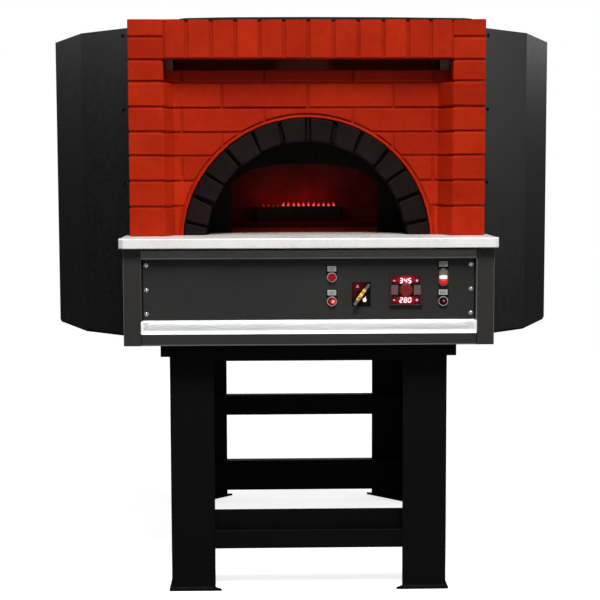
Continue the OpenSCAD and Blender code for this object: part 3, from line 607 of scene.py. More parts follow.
# arch stones, a little uneven, with a thin key at the crown
bm = bmesh.new()
R0, R1 = 313.5, 384.4
CUTS = [3.4, 10.5, 23.7, 36.7, 48.4, 62.9, 76.2, 89.4, 103.0, 116.6, 131.1, 145.6, 157.4, 170.2, 176.6]
for k in range(14):
    rnd = random.Random(40 + k)
    t0 = CUTS[k] + (0.1 if k == 0 else 0.92 + rnd.uniform(-0.3, 0.25))
    t1 = CUTS[k + 1] - (0.1 if k == 13 else 0.92 + rnd.uniform(-0.3, 0.25))
    if k == 6: t1 -= 0.45
    if k == 7: t0 += 0.45
    r0, r1 = R0 + rnd.uniform(-3.0, 3.5), R1 - rnd.uniform(0.4, 2.6)
    tm = (t0 + t1) / 2
    tilt = rnd.uniform(-0.9, 0.9)
    pts = [(r0, t0 + tilt), (r1, t0 - tilt * 0.4), (r1 + 1.0, tm), (r1, t1 - tilt * 0.4), (r0, t1 + tilt)]
    poly = [(r * math.cos(math.radians(t)), max(1089.3, AZ + r * math.sin(math.radians(t)))) for r, t in pts]
    y0 = WY - 3.6 + rnd.uniform(0, 6.5)
    solid(bm, [P(x, y0, z) for x, z in poly], [P(x, WY + 57, z) for x, z in poly], bevel=0.0055, seg=4, wob=0.0016, cut=0.024, seed=40 + k)
s0 = 3.4
key = [(R0 + 1, 89.4 - 0.55), (R1 - 1, 89.4 - 0.5), (R1 - 1, 89.4 + 0.5), (R0 + 1, 89.4 + 0.55)]
poly = [(r * math.cos(math.radians(t)), AZ + r * math.sin(math.radians(t))) for r, t in key]
solid(bm, [P(x, WY - 1.0, z) for x, z in poly], [P(x, WY + 50, z) for x, z in poly], bevel=0.0014, seg=2, wob=0.0005, cut=0.02, seed=77)
n_ring = 96
lay = bm.verts.layers.float.get("tone")
rows = []
for i in range(n_ring + 1):
    a = math.radians(s0) + math.radians(180 - 2 * s0) * i / n_ring
    rows.append([bm.verts.new(P(r * math.cos(a), y, AZ + r * math.sin(a))) for r, y in ((R1 - 0.5, WY + 12), (R0 + 7, WY + 12), (R0 + 7, WY + 56), (R1 - 0.5, WY + 56))])
for p, q in zip(rows, rows[1:]):
    for k in range(4):
        f = bm.faces.new((p[k], q[k], q[(k + 1) % 4], p[(k + 1) % 4])); f.material_index = 1
for r in (rows[0], rows[-1]):
    f = bm.faces.new(r); f.material_index = 1
obj_from(bm, "arch_stones", [ARCH, ARCH_JOINT], replaces=("voussoirs",))

# ------------------------------------------------------------------ flames on the burner
for grp, idx, mat in (("burner_flames", range(4, 15), FLAME), ("burner_flames_low", range(0, 4), FLAME_LOW)):
    bm = bmesh.new()
    lay = bm.verts.layers.float.new("tone")
    for i in idx:
        rnd = random.Random(500 + i)
        cx = (i - 7) * 20 + rnd.uniform(-1.5, 1.5)
        h = (19 if i > 3 else 12) + rnd.uniform(-4, 4)
        w = (5.2 if i > 3 else 6.0) + rnd.uniform(-0.6, 0.6)
        lean = rnd.uniform(-2, 2)
        rings = []
        for j in range(9):
            t = j / 8
            r = w * math.sin(math.pi * min(1, 0.22 + t * 0.78)) ** 0.8 * (1 - 0.3 * t)
            z = 1150 + t * h
            x = cx + lean * t * t + 1.0 * math.sin(5 * t + i)
            rings.append([bm.verts.new(P(x + r * math.cos(2 * math.pi * q / 10), 1433 + 0.7 * r * math.sin(2 * math.pi * q / 10), z)) for q in range(10)])
        for p, q in zip(rings, rings[1:]):
            for e in range(10):
                bm.faces.new((p[e], p[(e + 1) % 10], q[(e + 1) % 10], q[e]))
        bm.faces.new(rings[0][::-1])
        bm.faces.new(rings[-1])
    obj_from(bm, grp, mat, weighted=False)

# ------------------------------------------------------------------ CAD nodes that stay
for n in ("leg_front_left", "leg_front_right", "leg_rear_left", "leg_rear_right", "foot_plates", "front_lower_beam", "rear_lower_beam",
          "rear_upper_crossbar", "front_top_beam", "rear_top_beam", "side_top_beams"):
    finish_cad(n, STAND, 0.0016, 2)
finish_cad("stand_bolts", ZINC, 0.0004, 1)
finish_cad("base_pan", STAND, 0.001, 2)
finish_cad("cladding_left", JACKET, 0.0007, 2)
finish_cad("cladding_right", JACKET, 0.0007, 2)
finish_cad("top_cover", JACKET, 0.0006, 2)
for n in ("side_panel_left", "side_panel_right", "bottom_rail"):
    finish_cad(n, BOX, 0.0008, 2)
finish_cad("top_rail", RAIL_PAINTED_LIGHTER, 0.0008, 2)
finish_cad("control_panel", PANEL)
finish_cad("slot_tray", TRAYM, 0.0006, 2)
finish_cad("control_box", ZINC)
finish_cad("marble_shelf", MARBLE, 0.0032, 4)
finish_cad("threshold", THRESH, 0.002, 2)
finish_cad("tunnel_lining", TUNNEL, 0.0012, 2)
finish_cad("mouth_frame", TUNNEL, 0.002, 2)
finish_cad("chamber_wall", REFR)
finish_cad("dome", REFR)
finish_cad("hearth_tiles", HEARTH, 0.001, 2)
finish_cad("hearth_base", INSUL)
finish_cad("insulation", INSUL)
finish_cad("burner", BURN, 0.0008, 2)
finish_cad("gas_train", BRASS, 0.0006, 2)
finish_cad("smoke_hood", HOOD_PAINTED_SHADE)
finish_cad("flue_collar", STEEL, 0.0006, 2)
finish_cad("cable_gland", BLACKP, 0.0005, 2)
finish_cad("contact_blocks", BLACKP, 0.0006, 2)
finish_cad("controller_case", BLACKP, 0.0007, 2)
finish_cad("controller_displays", window_mat("display_glow", 0.289, 0.9326, 0.050, 0.024), 0.0002, 1)
finish_cad("controller_knob", KNOB_PAINTED_RED_REFLECTION, 0.0003, 2)
finish_cad("key_left", KEYP, 0.0007, 3)
finish_cad("key_right", KEYP, 0.0007, 3)

# ------------------------------------------------------------------ controls
RED, LIT, DRK, TWIN, SEL, CTL = (68, 971), (68, 899), (401, 898.5), (401, 970), (156, 920), (289, 932.6)
bm = bmesh.new()
for p in (RED, LIT, DRK):
    lathe(bm, *p, [(11.9, -0.2), (11.9, 5.4), (12.2, 6.3), (12.9, 6.9), (13.7, 6.9), (14.3, 6.3), (14.6, 5.0), (14.75, 3.2), (14.8, 1.2), (14.8, 0.0), (11.9, -0.2)], 64)
    for i in range(36):
        a = 2 * math.pi * i / 36
        cx, cz = p[0] + 14.7 * math.cos(a), p[1] + 14.7 * math.sin(a)
        lathe(bm, cx, cz, [(0, 0.4), (0.45, 0.4), (0.45, 3.0), (0, 3.2)], 6)
obj_from(bm, "button_bezel_rings", CHROME, replaces=("button_bezels",))
cap = [(0, -20), (8.7, -20), (8.7, -0.6), (11.3, -0.6), (11.5, 0.2), (11.5, 8.0), (11.2, 9.0), (10.4, 9.6), (9.4, 9.7), (8.2, 9.35), (6.5, 8.95), (3.2, 8.7), (0, 8.65)]
def cap_mat(name, lo, hi, centre, radius, stops):
    m = Mat(name)
    m.set(Specular_IOR_Level=0.2, Roughness=0.25)
    z = m.noise(700, 2, 0.5)
    m.color(m.ramp(z, "Fac", [(0.3, lo), (0.7, hi)]))
    m.bump([(z, "Fac", 0.05, 0.0001)])
    v = m.n("ShaderNodeVectorMath", operation="DISTANCE"); m.link(m.tc, "Object", v, 0)
    v.inputs[1].default_value = centre
    e = m.ramp(m.rng(v, "Value", 0.0, radius, 0.0, 1.0), 0, stops)
    m.link(e, 0, m.b, "Emission Color"); m.set(Emission_Strength=1.0)
    return m.m


# lit button: a red lamp glow, with a white-pink painted highlight off the centre towards the right
LIT_CAP_GLOW_AND_HIGHLIGHT = cap_mat("lit_cap_glow_and_painted_highlight", (0.16, 0.002, 0.005), (0.20, 0.003, 0.007), P(71.5, 36.3, 898.5), 0.0105, [(0.0, (1.0, 0.55, 0.50)), (0.35, (0.90, 0.30, 0.28)), (0.6, (0.22, 0.010, 0.014)), (1.0, (0.05, 0.001, 0.002))])
# dark button: very dark maroon with a small pink painted highlight to the right
DARK_CAP_PAINTED_HIGHLIGHT = cap_mat("dark_cap_painted_highlight", (0.010, 0.0006, 0.0025), (0.014, 0.0008, 0.0035), P(402.5, 36.3, 899.5), 0.0065, [(0.0, (0.62, 0.16, 0.24)), (0.4, (0.30, 0.04, 0.08)), (0.7, (0.03, 0.001, 0.004)), (1.0, (0, 0, 0))])
for nm, p, mt, body in (("cap_red", RED, REDP, "red_button"), ("cap_lit", LIT, LIT_CAP_GLOW_AND_HIGHLIGHT, "lit_button"), ("cap_dark", DRK, DARK_CAP_PAINTED_HIGHLIGHT, "dark_button")):
    bm = bmesh.new()
    lathe(bm, *p, cap, 64)
    obj_from(bm, nm, mt, body=body, replaces=(body,))


def rrect(cx, cz, w, h, r, n=6):
    out = []
    for (sx, sz, a0) in ((1, 1, 0), (-1, 1, 90), (-1, -1, 180), (1, -1, 270)):
        for i in range(n + 1):
            a = math.radians(a0 + 90 * i / n)
            out.append((cx + sx * (w / 2 - r) + r * math.cos(a), cz + sz * (h / 2 - r) + r * math.sin(a)))
    return out


def plate(dst, outline, y0, y1, **kw):
    solid(dst, [P(x, y0, z) for x, z in outline], [P(x, y1, z) for x, z in outline], **kw)


def spot(m, centre, radius, stops, strength=1.0):
    """Emission that fades with distance from a point of the object."""
    v = m.n("ShaderNodeVectorMath", operation="DISTANCE"); m.link(m.tc, "Object", v, 0)
    v.inputs[1].default_value = centre
    e = m.ramp(m.rng(v, "Value", 0.0, radius, 0.0, 1.0), 0, stops)
    m.link(e, 0, m.b, "Emission Color"); m.set(Emission_Strength=strength)


SELPLATE_PAINTED_GLOW = Mat("selector_plate_painted_glow")
SELPLATE_PAINTED_GLOW.set(Specular_IOR_Level=0.12, Roughness=0.45)
_q = SELPLATE_PAINTED_GLOW.noise(260, 4, 0.6)
SELPLATE_PAINTED_GLOW.color(SELPLATE_PAINTED_GLOW.ramp(_q, "Fac", [(0.3, (0.0020, 0.0012, 0.0012)), (0.7, (0.0042, 0.0022, 0.0022))]))
SELPLATE_PAINTED_GLOW.bump([(_q, "Fac", 0.2, 0.0002)])
# a dark red painted glow over the upper left of the black plate, the warning triangle's light spilling onto it
spot(SELPLATE_PAINTED_GLOW, P(SEL[0] - 14, 43.4, SEL[1] + 18), 0.036, [(0.0, (0.075, 0.0012, 0.003)), (0.5, (0.028, 0.0006, 0.001)), (1.0, (0, 0, 0))])

def stadium(cx, cz, w, h, n=14):
    r = w / 2
    k = h / 2 - r
    out = [(cx + r * math.cos(math.pi * i / n), cz + k + r * math.sin(math.pi * i / n)) for i in range(n + 1)]
    out += [(cx + r * math.cos(math.pi + math.pi * i / n), cz - k + r * math.sin(math.pi + math.pi * i / n)) for i in range(n + 1)]
    return out


def ring_shell(dst, levels, mat=0):
    """Skin between successive outlines: (outline, depth from the shelf's front edge)."""
    rows = [[dst.verts.new(P(x, y, z)) for x, z in o] for o, y in levels]
    for p, q in zip(rows, rows[1:]):
        for i in range(len(p)):
            j = (i + 1) % len(p)
            f = dst.faces.new((p[i], p[j], q[j], q[i])); f.material_index = mat
    return rows


TW, TH = 30.0, 54.0
bm = bmesh.new()
lv = [(0.0, 45.0), (0.0, 38.6), (-0.9, 37.2), (-2.0, 36.6), (-3.6, 36.6), (-4.6, 37.4), (-5.0, 39.0), (-5.0, 44.0)]
ring_shell(bm, [(stadium(*TWIN, TW + d, TH + d), y) for d, y in lv] + [(stadium(*TWIN, TW, TH), 45.0)])
bmesh.ops.remove_doubles(bm, verts=bm.verts, dist=1e-6)
plate(bm, stadium(*TWIN, 24.9, 48.9), 43.7, 44.8)
TWINB = brushed("twin_surround", (0.36, 0.33, 0.29), (0.24, 0.36), (40, 40, 40))
obj_from(bm, "twin_surround", TWINB, replaces=("twin_button_body",))


def d_half(sgn, w=24.2, h=48.2, gap=5.5):
    k = h / 2 - w / 2
    r = w / 2
    pts = [(TWIN[0] + r * math.cos(math.pi * i / 18), k + r * math.sin(math.pi * i / 18)) for i in range(19)]
    pts += [(TWIN[0] - r, gap), (TWIN[0] + r, gap)]
    return [(x, TWIN[1] + sgn * z) for x, z in pts]


# both twin caps carry an emission spot beside the lit lens, a painted glow of the lens's light falling on them
UPPER_CAP_PAINTED_LENS_GLOW = cap_mat("green_grey_cap", (0.13, 0.115, 0.085), (0.17, 0.15, 0.115), P(401, 37, 976), 0.014, [(0.0, (0.25, 0.16, 0.13)), (0.5, (0.03, 0.012, 0.01)), (1.0, (0, 0, 0))])
LOWER_CAP_PAINTED_LENS_GLOW = cap_mat("twin_red_cap_painted_lens_glow", (0.34, 0.0035, 0.010), (0.42, 0.005, 0.014), P(401, 37, 966), 0.022, [(0.0, (0.95, 0.22, 0.20)), (0.4, (0.40, 0.012, 0.02)), (1.0, (0.10, 0.001, 0.003))])
for sg, nm, mt, body, node, sl in ((1, "cap_twin_upper", UPPER_CAP_PAINTED_LENS_GLOW, "twin_upper", "twin_button_upper", "green_plastic"), (-1, "cap_twin_lower", LOWER_CAP_PAINTED_LENS_GLOW, "twin_lower", "twin_button_lower", "red_plastic")):
    bm = bmesh.new()
    plate(bm, d_half(sg), 35.6, 40.2, bevel=0.0011, seg=4)
    obj_from(bm, nm, mt, body=body, replaces=(node,))
LENSM = cap_mat("lens_lit", (0.8, 0.6, 0.6), (0.85, 0.66, 0.66), P(401, 36.0, 970), 0.0125, [(0.0, (1.0, 0.97, 0.95)), (0.45, (1.0, 0.80, 0.78)), (0.8, (0.85, 0.22, 0.22)), (1.0, (0.5, 0.04, 0.05))])
bm = bmesh.new()
plate(bm, rrect(401, 970, 24.0, 10.2, 1.6), 36.4, 43.5, bevel=0.0010, seg=4)
obj_from(bm, "twin_lens_lit", LENSM, replaces=("twin_lens",))

# legend plates: silver tags with engraved bars, black holders, black selector plate
bm = bmesh.new()
for cx, cz in ((68, 996), (68, 924.5), (401, 1009), (401, 924.5)):
    tag = [(cx + 13.2, cz + 8.2), (cx - 13.2, cz + 8.2), (cx - 13.2, cz - 8.2), (cx + 13.2, cz - 8.2)]
    by = {996: 971, 924.5: 899 if cx < 200 else 898.5, 1009: 970}[cz]
    hold = rrect(cx, cz - 3.0, 33.0, 25.5, 2.0)
    plate(bm, hold, 44.0, 45.0, bevel=0.0003, seg=2, mat=1)
    plate(bm, rrect(cx, cz + 0.3, 26.0, 15.6, 0.8), 43.3, 44.2, bevel=0.0003, seg=2, mat=0)
    for r_, row in enumerate(((-9.5, -3.0), (-1.5, 9.0))):
        pass
    for zz, segs in ((cz + 3.2, ((-9.6, -2.2), (-0.4, 8.8))), (cz - 0.6, ((-9.6, 3.4), (5.0, 9.4))), (cz - 4.2, ((-9.6, -5.2), (-3.4, 6.2)))):
        for u0, u1 in segs:
            plate(bm, [(cx + u0, zz - 0.8), (cx + u1, zz - 0.8), (cx + u1, zz + 0.8), (cx + u0, zz + 0.8)], 43.22, 43.4, mat=2)
plate(bm, rrect(SEL[0], SEL[1], 56, 73, 2.2), 43.4, 45.0, bevel=0.0005, seg=2, mat=3)
obj_from(bm, "legend_tags", [LABELP, BLACKP, MARKP, SELPLATE_PAINTED_GLOW.m], replaces=("legend_plates",))

# selector icons: a red warning triangle and a white flame, both plain shapes
bm = bmesh.new()
tx, tz = SEL[0] - 11.2, SEL[1] + 24.4
tri = [(tx - 5.4, tz - 4.6), (tx + 5.4, tz - 4.6), (tx, tz + 5.4)]
plate(bm, tri, 43.0, 43.5, bevel=0.0002, seg=1, mat=0)
fx, fz = SEL[0] + 10.0, SEL[1] - 14.4
flame = [(0, -9), (3.6, -8), (5.2, -4.6), (4.6, -0.6), (3.2, 2.0), (3.0, 6.2), (2.2, 9.4), (0.8, 8.4), (0.2, 4.0), (-1.2, 1.4), (-2.0, 4.4), (-3.4, 3.4), (-4.6, -1.0), (-5.0, -5.0), (-3.4, -8.2)]
plate(bm, [(fx + a * 1.1, fz + b) for a, b in flame], 43.0, 43.5, mat=1)
obj_from(bm, "selector_icons", [emitter("icon_red", (1.0, 0.16, 0.20), 0.8), emitter("icon_white", (1.0, 0.86, 0.80), 1.1, (0.6, 0.5, 0.5))])

# pointer handle: a slim bar, metal at both ends and amber between, the amber's noisy yellow-white emission spots being
# painted glints
bm = bmesh.new()
lathe(bm, SEL[0], SEL[1], [(0, -30), (3.0, -30), (3.0, 1.9), (13.2, 1.9), (13.5, 2.4), (13.5, 10.6), (12.9, 11.6), (11.6, 12.0), (0, 12.0)], 48, mat=1)
ca, sa = math.cos(math.radians(54)), math.sin(math.radians(54))


def bar_ring(u, w, y0, y1, n=16):
    ring = []
    for i in range(n):
        a = 2 * math.pi * i / n
        cx, cy = math.cos(a), math.sin(a)
        vx = w * math.copysign(abs(cx) ** 0.75, cx)
        vy = (y0 + y1) / 2 + (y1 - y0) / 2 * math.copysign(abs(cy) ** 0.75, cy)
        ring.append(P(SEL[0] + u * ca - vx * sa, vy, SEL[1] + u * sa + vx * ca))
    return ring


def bar(dst, u0, u1, w0, w1, mat, y0=23.2, y1=33.0):
    st = [u0, u0 + 0.8] + [u0 + (u1 - u0) * i / 8 for i in range(1, 8)] + [u1 - 0.8, u1]
    rings = []
    for q, u in enumerate(st):
        t = (u - u0) / (u1 - u0)
        k = 0.82 if q in (0, len(st) - 1) else 1.0
        rings.append([dst.verts.new(v) for v in bar_ring(u, (w0 + (w1 - w0) * t) * k, y0 + (1 - k) * 4, y1 - (1 - k) * 4)])
    for p, q in zip(rings, rings[1:]):
        for e in range(16):
            f = dst.faces.new((p[e], p[(e + 1) % 16], q[(e + 1) % 16], q[e])); f.material_index = mat
    f = dst.faces.new(rings[0][::-1]); f.material_index = mat
    f = dst.faces.new(rings[-1]); f.material_index = mat


bar(bm, -38, -22, 5.2, 5.6, 0)
bar(bm, -22.2, 19, 5.6, 5.4, 2)
bar(bm, 18.8, 38, 5.4, 4.4, 0)
_am = Mat("amber_grip_painted_glints")
_am.set(Specular_IOR_Level=0.3, Roughness=0.25)
_an = _am.noise(95, 3, 0.6, (1, 1, 1.4), 0.6)
_am.color(_am.ramp(_an, "Fac", [(0.32, (0.12, 0.035, 0.012)), (0.48, (0.62, 0.22, 0.03)), (0.62, (0.85, 0.55, 0.12))]))
# yellow-white emission in noisy spots: painted glints on the amber
_am.link(_am.ramp(_an, "Fac", [(0.40, (0.02, 0.004, 0.001)), (0.55, (0.30, 0.10, 0.01)), (0.66, (0.75, 0.48, 0.10))]), 0, _am.b, "Emission Color")
_am.set(Emission_Strength=0.55)
AMBER_PAINTED_GLINTS = _am.m
HANDLE = brushed("handle_metal", (0.42, 0.38, 0.36), (0.25, 0.4), (30, 30, 30))
obj_from(bm, "selector_pointer", [HANDLE, BLACKP, AMBER_PAINTED_GLINTS], body="selector", replaces=("selector_knob",))

# controller: face plate, thin light-grey frame lines painted as highlights on the bezel's edges, lit figures and small
# lamps
bm = bmesh.new()
cx, cz = CTL
for z_, h_ in ((cz + 44.6, 1.2), (cz - 44.6, 1.2)):
    plate(bm, [(cx - 45, z_ - h_ / 2), (cx + 45, z_ - h_ / 2), (cx + 45, z_ + h_ / 2), (cx - 45, z_ + h_ / 2)], 36.85, 37.3, mat=0)
for x_ in (cx - 45.2, cx + 45.2):
    plate(bm, [(x_ - 0.5, cz - 45), (x_ + 0.5, cz - 45), (x_ + 0.5, cz + 45), (x_ - 0.5, cz + 45)], 36.85, 37.3, mat=0)
for x0_, z0_, x1_, z1_ in ((cx - 50.5, cz + 46.6, cx + 50.5, cz + 50.0), (cx - 50.5, cz - 49.2, cx + 50.5, cz - 46.6), (cx - 50.5, cz - 46.5, cx - 47.4, cz + 46.5), (cx + 47.4, cz - 46.5, cx + 50.5, cz + 46.5)):
    box(bm, x0_, 43.4, z0_, x1_, 44.9, z1_, bevel=0.0003, seg=1, mat=1)
obj_from(bm, "controller_trim", [KEYP, plastic("controller_flange", (0.034, 0.026, 0.026), 0.45, 0.3, 0, 0.2)])
SEGS = {"a": (0, 1, "h"), "g": (0, 0, "h"), "d": (0, -1, "h"), "f": (-1, .5, "v"), "b": (1, .5, "v"), "e": (-1, -.5, "v"), "c": (1, -.5, "v")}
DIG = {"0": "abcdef", "1": "bc", "2": "abged", "3": "abgcd", "4": "fgbc", "5": "afgcd", "6": "afgedc", "7": "abc", "8": "abcdefg", "9": "abcdfg"}
bm = bmesh.new()
for text, zc in (("345", cz + 27.5), ("280", cz - 30.5)):
    for k, ch in enumerate(text):
        ox = cx - 1.5 + (k - 1) * 12.6
        for sname in DIG[ch]:
            ux, uz, o_ = SEGS[sname]
            px, pz = ox + ux * 3.9, zc + uz * 6.6
            L, T = (3.5, 1.45) if o_ == "h" else (3.1, 1.45)
            hexa = [(-L, 0), (-L + T, T), (L - T, T), (L, 0), (L - T, -T), (-L + T, -T)] if o_ == "h" else [(0, -L), (T, -L + T), (T, L - T), (0, L), (-T, L - T), (-T, -L + T)]
            plate(bm, [(px + a + 0.10 * (b + pz - zc), pz + b) for a, b in hexa], 37.15, 37.45, mat=0)
    lamp = [(cx - 35.5 + 3.4 * math.cos(q * math.pi / 8), zc + 2.6 * math.sin(q * math.pi / 8)) for q in range(16)]
    plate(bm, lamp, 37.15, 37.45, mat=1)
    plate(bm, [(cx - 31 + q[0], zc + q[1]) for q in ((-1, -0.9), (3.0, -0.9), (3.0, 0.9), (-1, 0.9))], 37.2, 37.45, mat=2)
    ring = [(cx + 33 + 3.6 * math.cos(q * math.pi / 8), zc + 3.8 * math.sin(q * math.pi / 8)) for q in range(16)]
    plate(bm, ring, 37.2, 37.45, mat=3)
obj_from(bm, "controller_figures", [emitter("figure_lit", (1.0, 0.56, 0.58), 1.9, (0.5, 0.2, 0.2)), emitter("lamp_lit", (1.0, 0.10, 0.14), 1.7), emitter("lamp_dim", (0.9, 0.03, 0.07), 0.7),
                                    emitter("icon_dim", (1.0, 0.45, 0.42), 0.55, (0.3, 0.2, 0.2))])

# folded hems of the sheet-metal front, painted light grey as highlights where their edges catch the light, the left
# post's inner hem dimmer as painted shade, and near-black strips beside the panel and the bottom rail as painted
# shadow in the gaps; and the turned-up ends of the tray
HEM = paint("hem_painted_highlight", (0.20, 0.19, 0.18), (0.3, 0.42), 0.4, 0.15)
HEM_SIDE = paint("hem_side_painted_highlight", (0.34, 0.33, 0.32), (0.3, 0.42), 0.45, 0.15)
bm = bmesh.new()
box(bm, -499.4, 25.6, 1027.4, 499.4, 28.4, 1032.6, bevel=0.0009, seg=3, mat=0)
box(bm, -499.4, 26.2, 769.2, 499.4, 28.4, 772.6, bevel=0.0009, seg=3, mat=2)
for sg in (-1, 1):
    box(bm, min(sg * 549.6, sg * 551.4), 24.4, 770.0, max(sg * 549.6, sg * 551.4), 26.4, 1058.4, bevel=0.0006, seg=2, mat=2)
    box(bm, min(sg * 498.2, sg * 500.6), 25.4, 843.4, max(sg * 498.2, sg * 500.6), 44.4, 1026.8, bevel=0.0006, seg=2, mat=3 if sg < 0 else 0)
    box(bm, min(sg * 493.6, sg * 498.0), 44.1, 843.4, max(sg * 493.6, sg * 498.0), 44.9, 1026.6, bevel=0.0003, seg=1, mat=4)
    box(bm, min(sg * 498.9, sg * 500.7), 24.5, 770.4, max(sg * 498.9, sg * 500.7), 25.3, 802.6, bevel=0.0003, seg=1, mat=4)
obj_from(bm, "front_hems", [HEM, HEM_SIDE, paint("hem_low_painted_highlight", (0.115, 0.11, 0.105), (0.3, 0.42), 0.4, 0.15), paint("hem_left_dim_painted_highlight", (0.070, 0.067, 0.064), (0.3, 0.42), 0.3, 0.15),
                               paint("edge_painted_shadow", (0.006, 0.006, 0.006), (0.7, 0.85), 0.05, 0.3)])
bm = bmesh.new()
box(bm, -496.4, 47.4, 836.6, 496.4, 48.9, 842.7, bevel=0.0005, seg=2, mat=0)
for sg in (-1, 1):
    box(bm, min(sg * 498.8, sg * 500.4), 25.4, 804.0, max(sg * 498.8, sg * 500.4), 27.4, 842.8, bevel=0.0004, seg=2, mat=0)
TRAY_HEM = obj_from(bm, "tray_hems", [TRAYM])

# thin flashing of dark sheet that shows over the soldier course
bm = bmesh.new()
plate(bm, [(-386, 1742.6), (500, 1742.6), (500, 1745.6), (474, 1747.6), (236, 1750.2), (0, 1751.0), (-236, 1750.2), (-370, 1747.6), (-386, 1745.6)], 173.4, 174.8, mat=0)
obj_from(bm, "lintel_flashing", [JACKET])
# screws: bright domed heads with a socket on the panel, black ones on the jacket
bm = bmesh.new()


def screw(dst, pos, ang, r, h, mat):
    t = bmesh.new()
    prof = [(r * 1.35, 0.0), (r * 1.35, 0.5), (r * 1.2, 0.7), (r, 0.72), (r * 0.97, h * 0.45), (r * 0.86, h * 0.72), (r * 0.66, h * 0.9), (r * 0.46, h), (r * 0.44, h * 0.99), (r * 0.42, h * 0.35), (0, h * 0.35)]
    seg = 24
    rings = []
    for q, (rr, hh) in enumerate(prof):
        if rr == 0:
            rings.append([t.verts.new((0, -hh, 0))]); continue
        ring = []
        for i in range(seg):
            a = 2 * math.pi * i / seg
            k = rr
            if q >= 8:
                k = rr * math.cos(math.pi / 6) / math.cos((a % (math.pi / 3)) - math.pi / 6)
            ring.append(t.verts.new((k * math.cos(a), -hh, k * math.sin(a))))
        rings.append(ring)
    for p, q in zip(rings, rings[1:]):
        for i in range(seg):
            j = (i + 1) % seg
            f = t.faces.new((p[i], p[j], q[0])) if len(q) == 1 else t.faces.new((p[i], p[j], q[j], q[i]))
    M = Matrix.Translation(pos) @ Matrix.Rotation(ang, 4, "Z") @ Matrix.Scale(0.001, 4)
    vm = {v: dst.verts.new(M @ v.co) for v in t.verts}
    for f in t.faces:
        nf = dst.faces.new([vm[v] for v in f.verts]); nf.material_index = mat
    t.free()


for x in (-485, 485):
    for z in (863, 935, 1008):
        screw(bm, P(x, 45, z), 0, 5.0, 3.0, 0)
for s in (-1, 1):
    for z in (795, 1023, 1251.5, 1479.5, 1708):
        screw(bm, P(s * (545.2 + 24.75), 274 + 24.7, z), s * math.pi / 4, 5.0, 3.2, 1)
obj_from(bm, "panel_and_jacket_screws", [SCREW, STAND], replaces=("dome_screws",))

# weld beads where the legs meet the foot plates and the beams meet the legs
bm = bmesh.new()


def bead(p, q, r=2.6, seed=0):
    n = max(4, int((q - p).length / 0.0035))
    d = (q - p).normalized()
    u = d.orthogonal().normalized(); w = d.cross(u)
    rings = []
    for i in range(n + 1):
        t = i / n
        k = r / 1000 * (0.82 + 0.22 * abs(math.sin(i * 1.35 + seed)) + 0.08 * math.sin(i * 0.37 + seed))
        if i in (0, n): k *= 0.4
        c = p.lerp(q, t)
        rings.append([bm.verts.new(c + (u * math.cos(a) + w * math.sin(a)) * k) for a in [2 * math.pi * j / 6 for j in range(6)]])
    for a, b in zip(rings, rings[1:]):
        for j in range(6):
            bm.faces.new((a[j], a[(j + 1) % 6], b[(j + 1) % 6], b[j]))
    bm.faces.new(rings[0][::-1]); bm.faces.new(rings[-1])


for s in (-1, 1):
    for yo, sy in ((108, 1), (1379, -1)):
        bead(P(s * 420, yo, 8.6), P(s * 290, yo, 8.6), seed=s)
        bead(P(s * 422, yo + sy * 2, 8.6), P(s * 422, yo + sy * 132, 8.6), seed=s + 2)
    bead(P(s * 410, 118, 133), P(s * 410, 176, 133), 2.2)
    bead(P(s * 288, 117.4, 130), P(s * 288, 117.4, 184), 1.8)
    for z0, z1 in ((35, 153), (335, 414)):
        bead(P(s * 288, 1370, z0 + 3), P(s * 288, 1370, z1 - 3), 1.8)
obj_from(bm, "weld_beads", STAND)

# ------------------------------------------------------------------ stage, light, camera
sc = bpy.context.scene
sc.view_settings.view_transform = "Standard"
sc.view_settings.look = "None"
sc.view_settings.exposure = 0.0
sc.view_settings.gamma = 1.0

bm = bmesh.new()
ring0 = bm.verts.new((0, 0, -0.0005))
rr = [bm.verts.new((6.0 * math.cos(2 * math.pi * i / 96), 6.0 * math.sin(2 * math.pi * i / 96), -0.0005)) for i in range(96)]
for i in range(96):
    bm.faces.new((ring0, rr[i], rr[(i + 1) % 96]))
me = bpy.data.meshes.new("floor"); bm.to_mesh(me); bm.free()
floor = bpy.data.objects.new("floor", me); sc.collection.objects.link(floor)
fm = Mat("floor_pale")
fm.set(Base_Color=(0.86, 0.86, 0.86), Roughness=0.9, Specular_IOR_Level=0.05)
lp = fm.n("ShaderNodeLightPath")
em = fm.n("ShaderNodeEmission"); em.inputs[0].default_value = (1, 1, 1, 1); em.inputs[1].default_value = 0.74
add = fm.n("ShaderNodeAddShader"); fm.link(fm.b, 0, add, 0); fm.link(em, 0, add, 1)
dk = fm.n("ShaderNodeBsdfDiffuse"); dk.inputs[0].default_value = (0.16, 0.16, 0.16, 1)
mx = fm.n("ShaderNodeMixShader"); fm.link(lp, "Is Camera Ray", mx, 0); fm.link(dk, 0, mx, 1); fm.link(add, 0, mx, 2)
tr = fm.n("ShaderNodeBsdfTransparent")
ln = fm.n("ShaderNodeVectorMath", operation="LENGTH"); fm.link(fm.tc, "Object", ln, 0)
fade = fm.rng(ln, "Value", 2.4, 5.6, 0.0, 1.0)
mx2 = fm.n("ShaderNodeMixShader"); fm.link(fade, 0, mx2, 0); fm.link(mx, 0, mx2, 1); fm.link(tr, 0, mx2, 2)
fm.link(mx2, 0, fm.out, "Surface")
me.materials.append(fm.m)

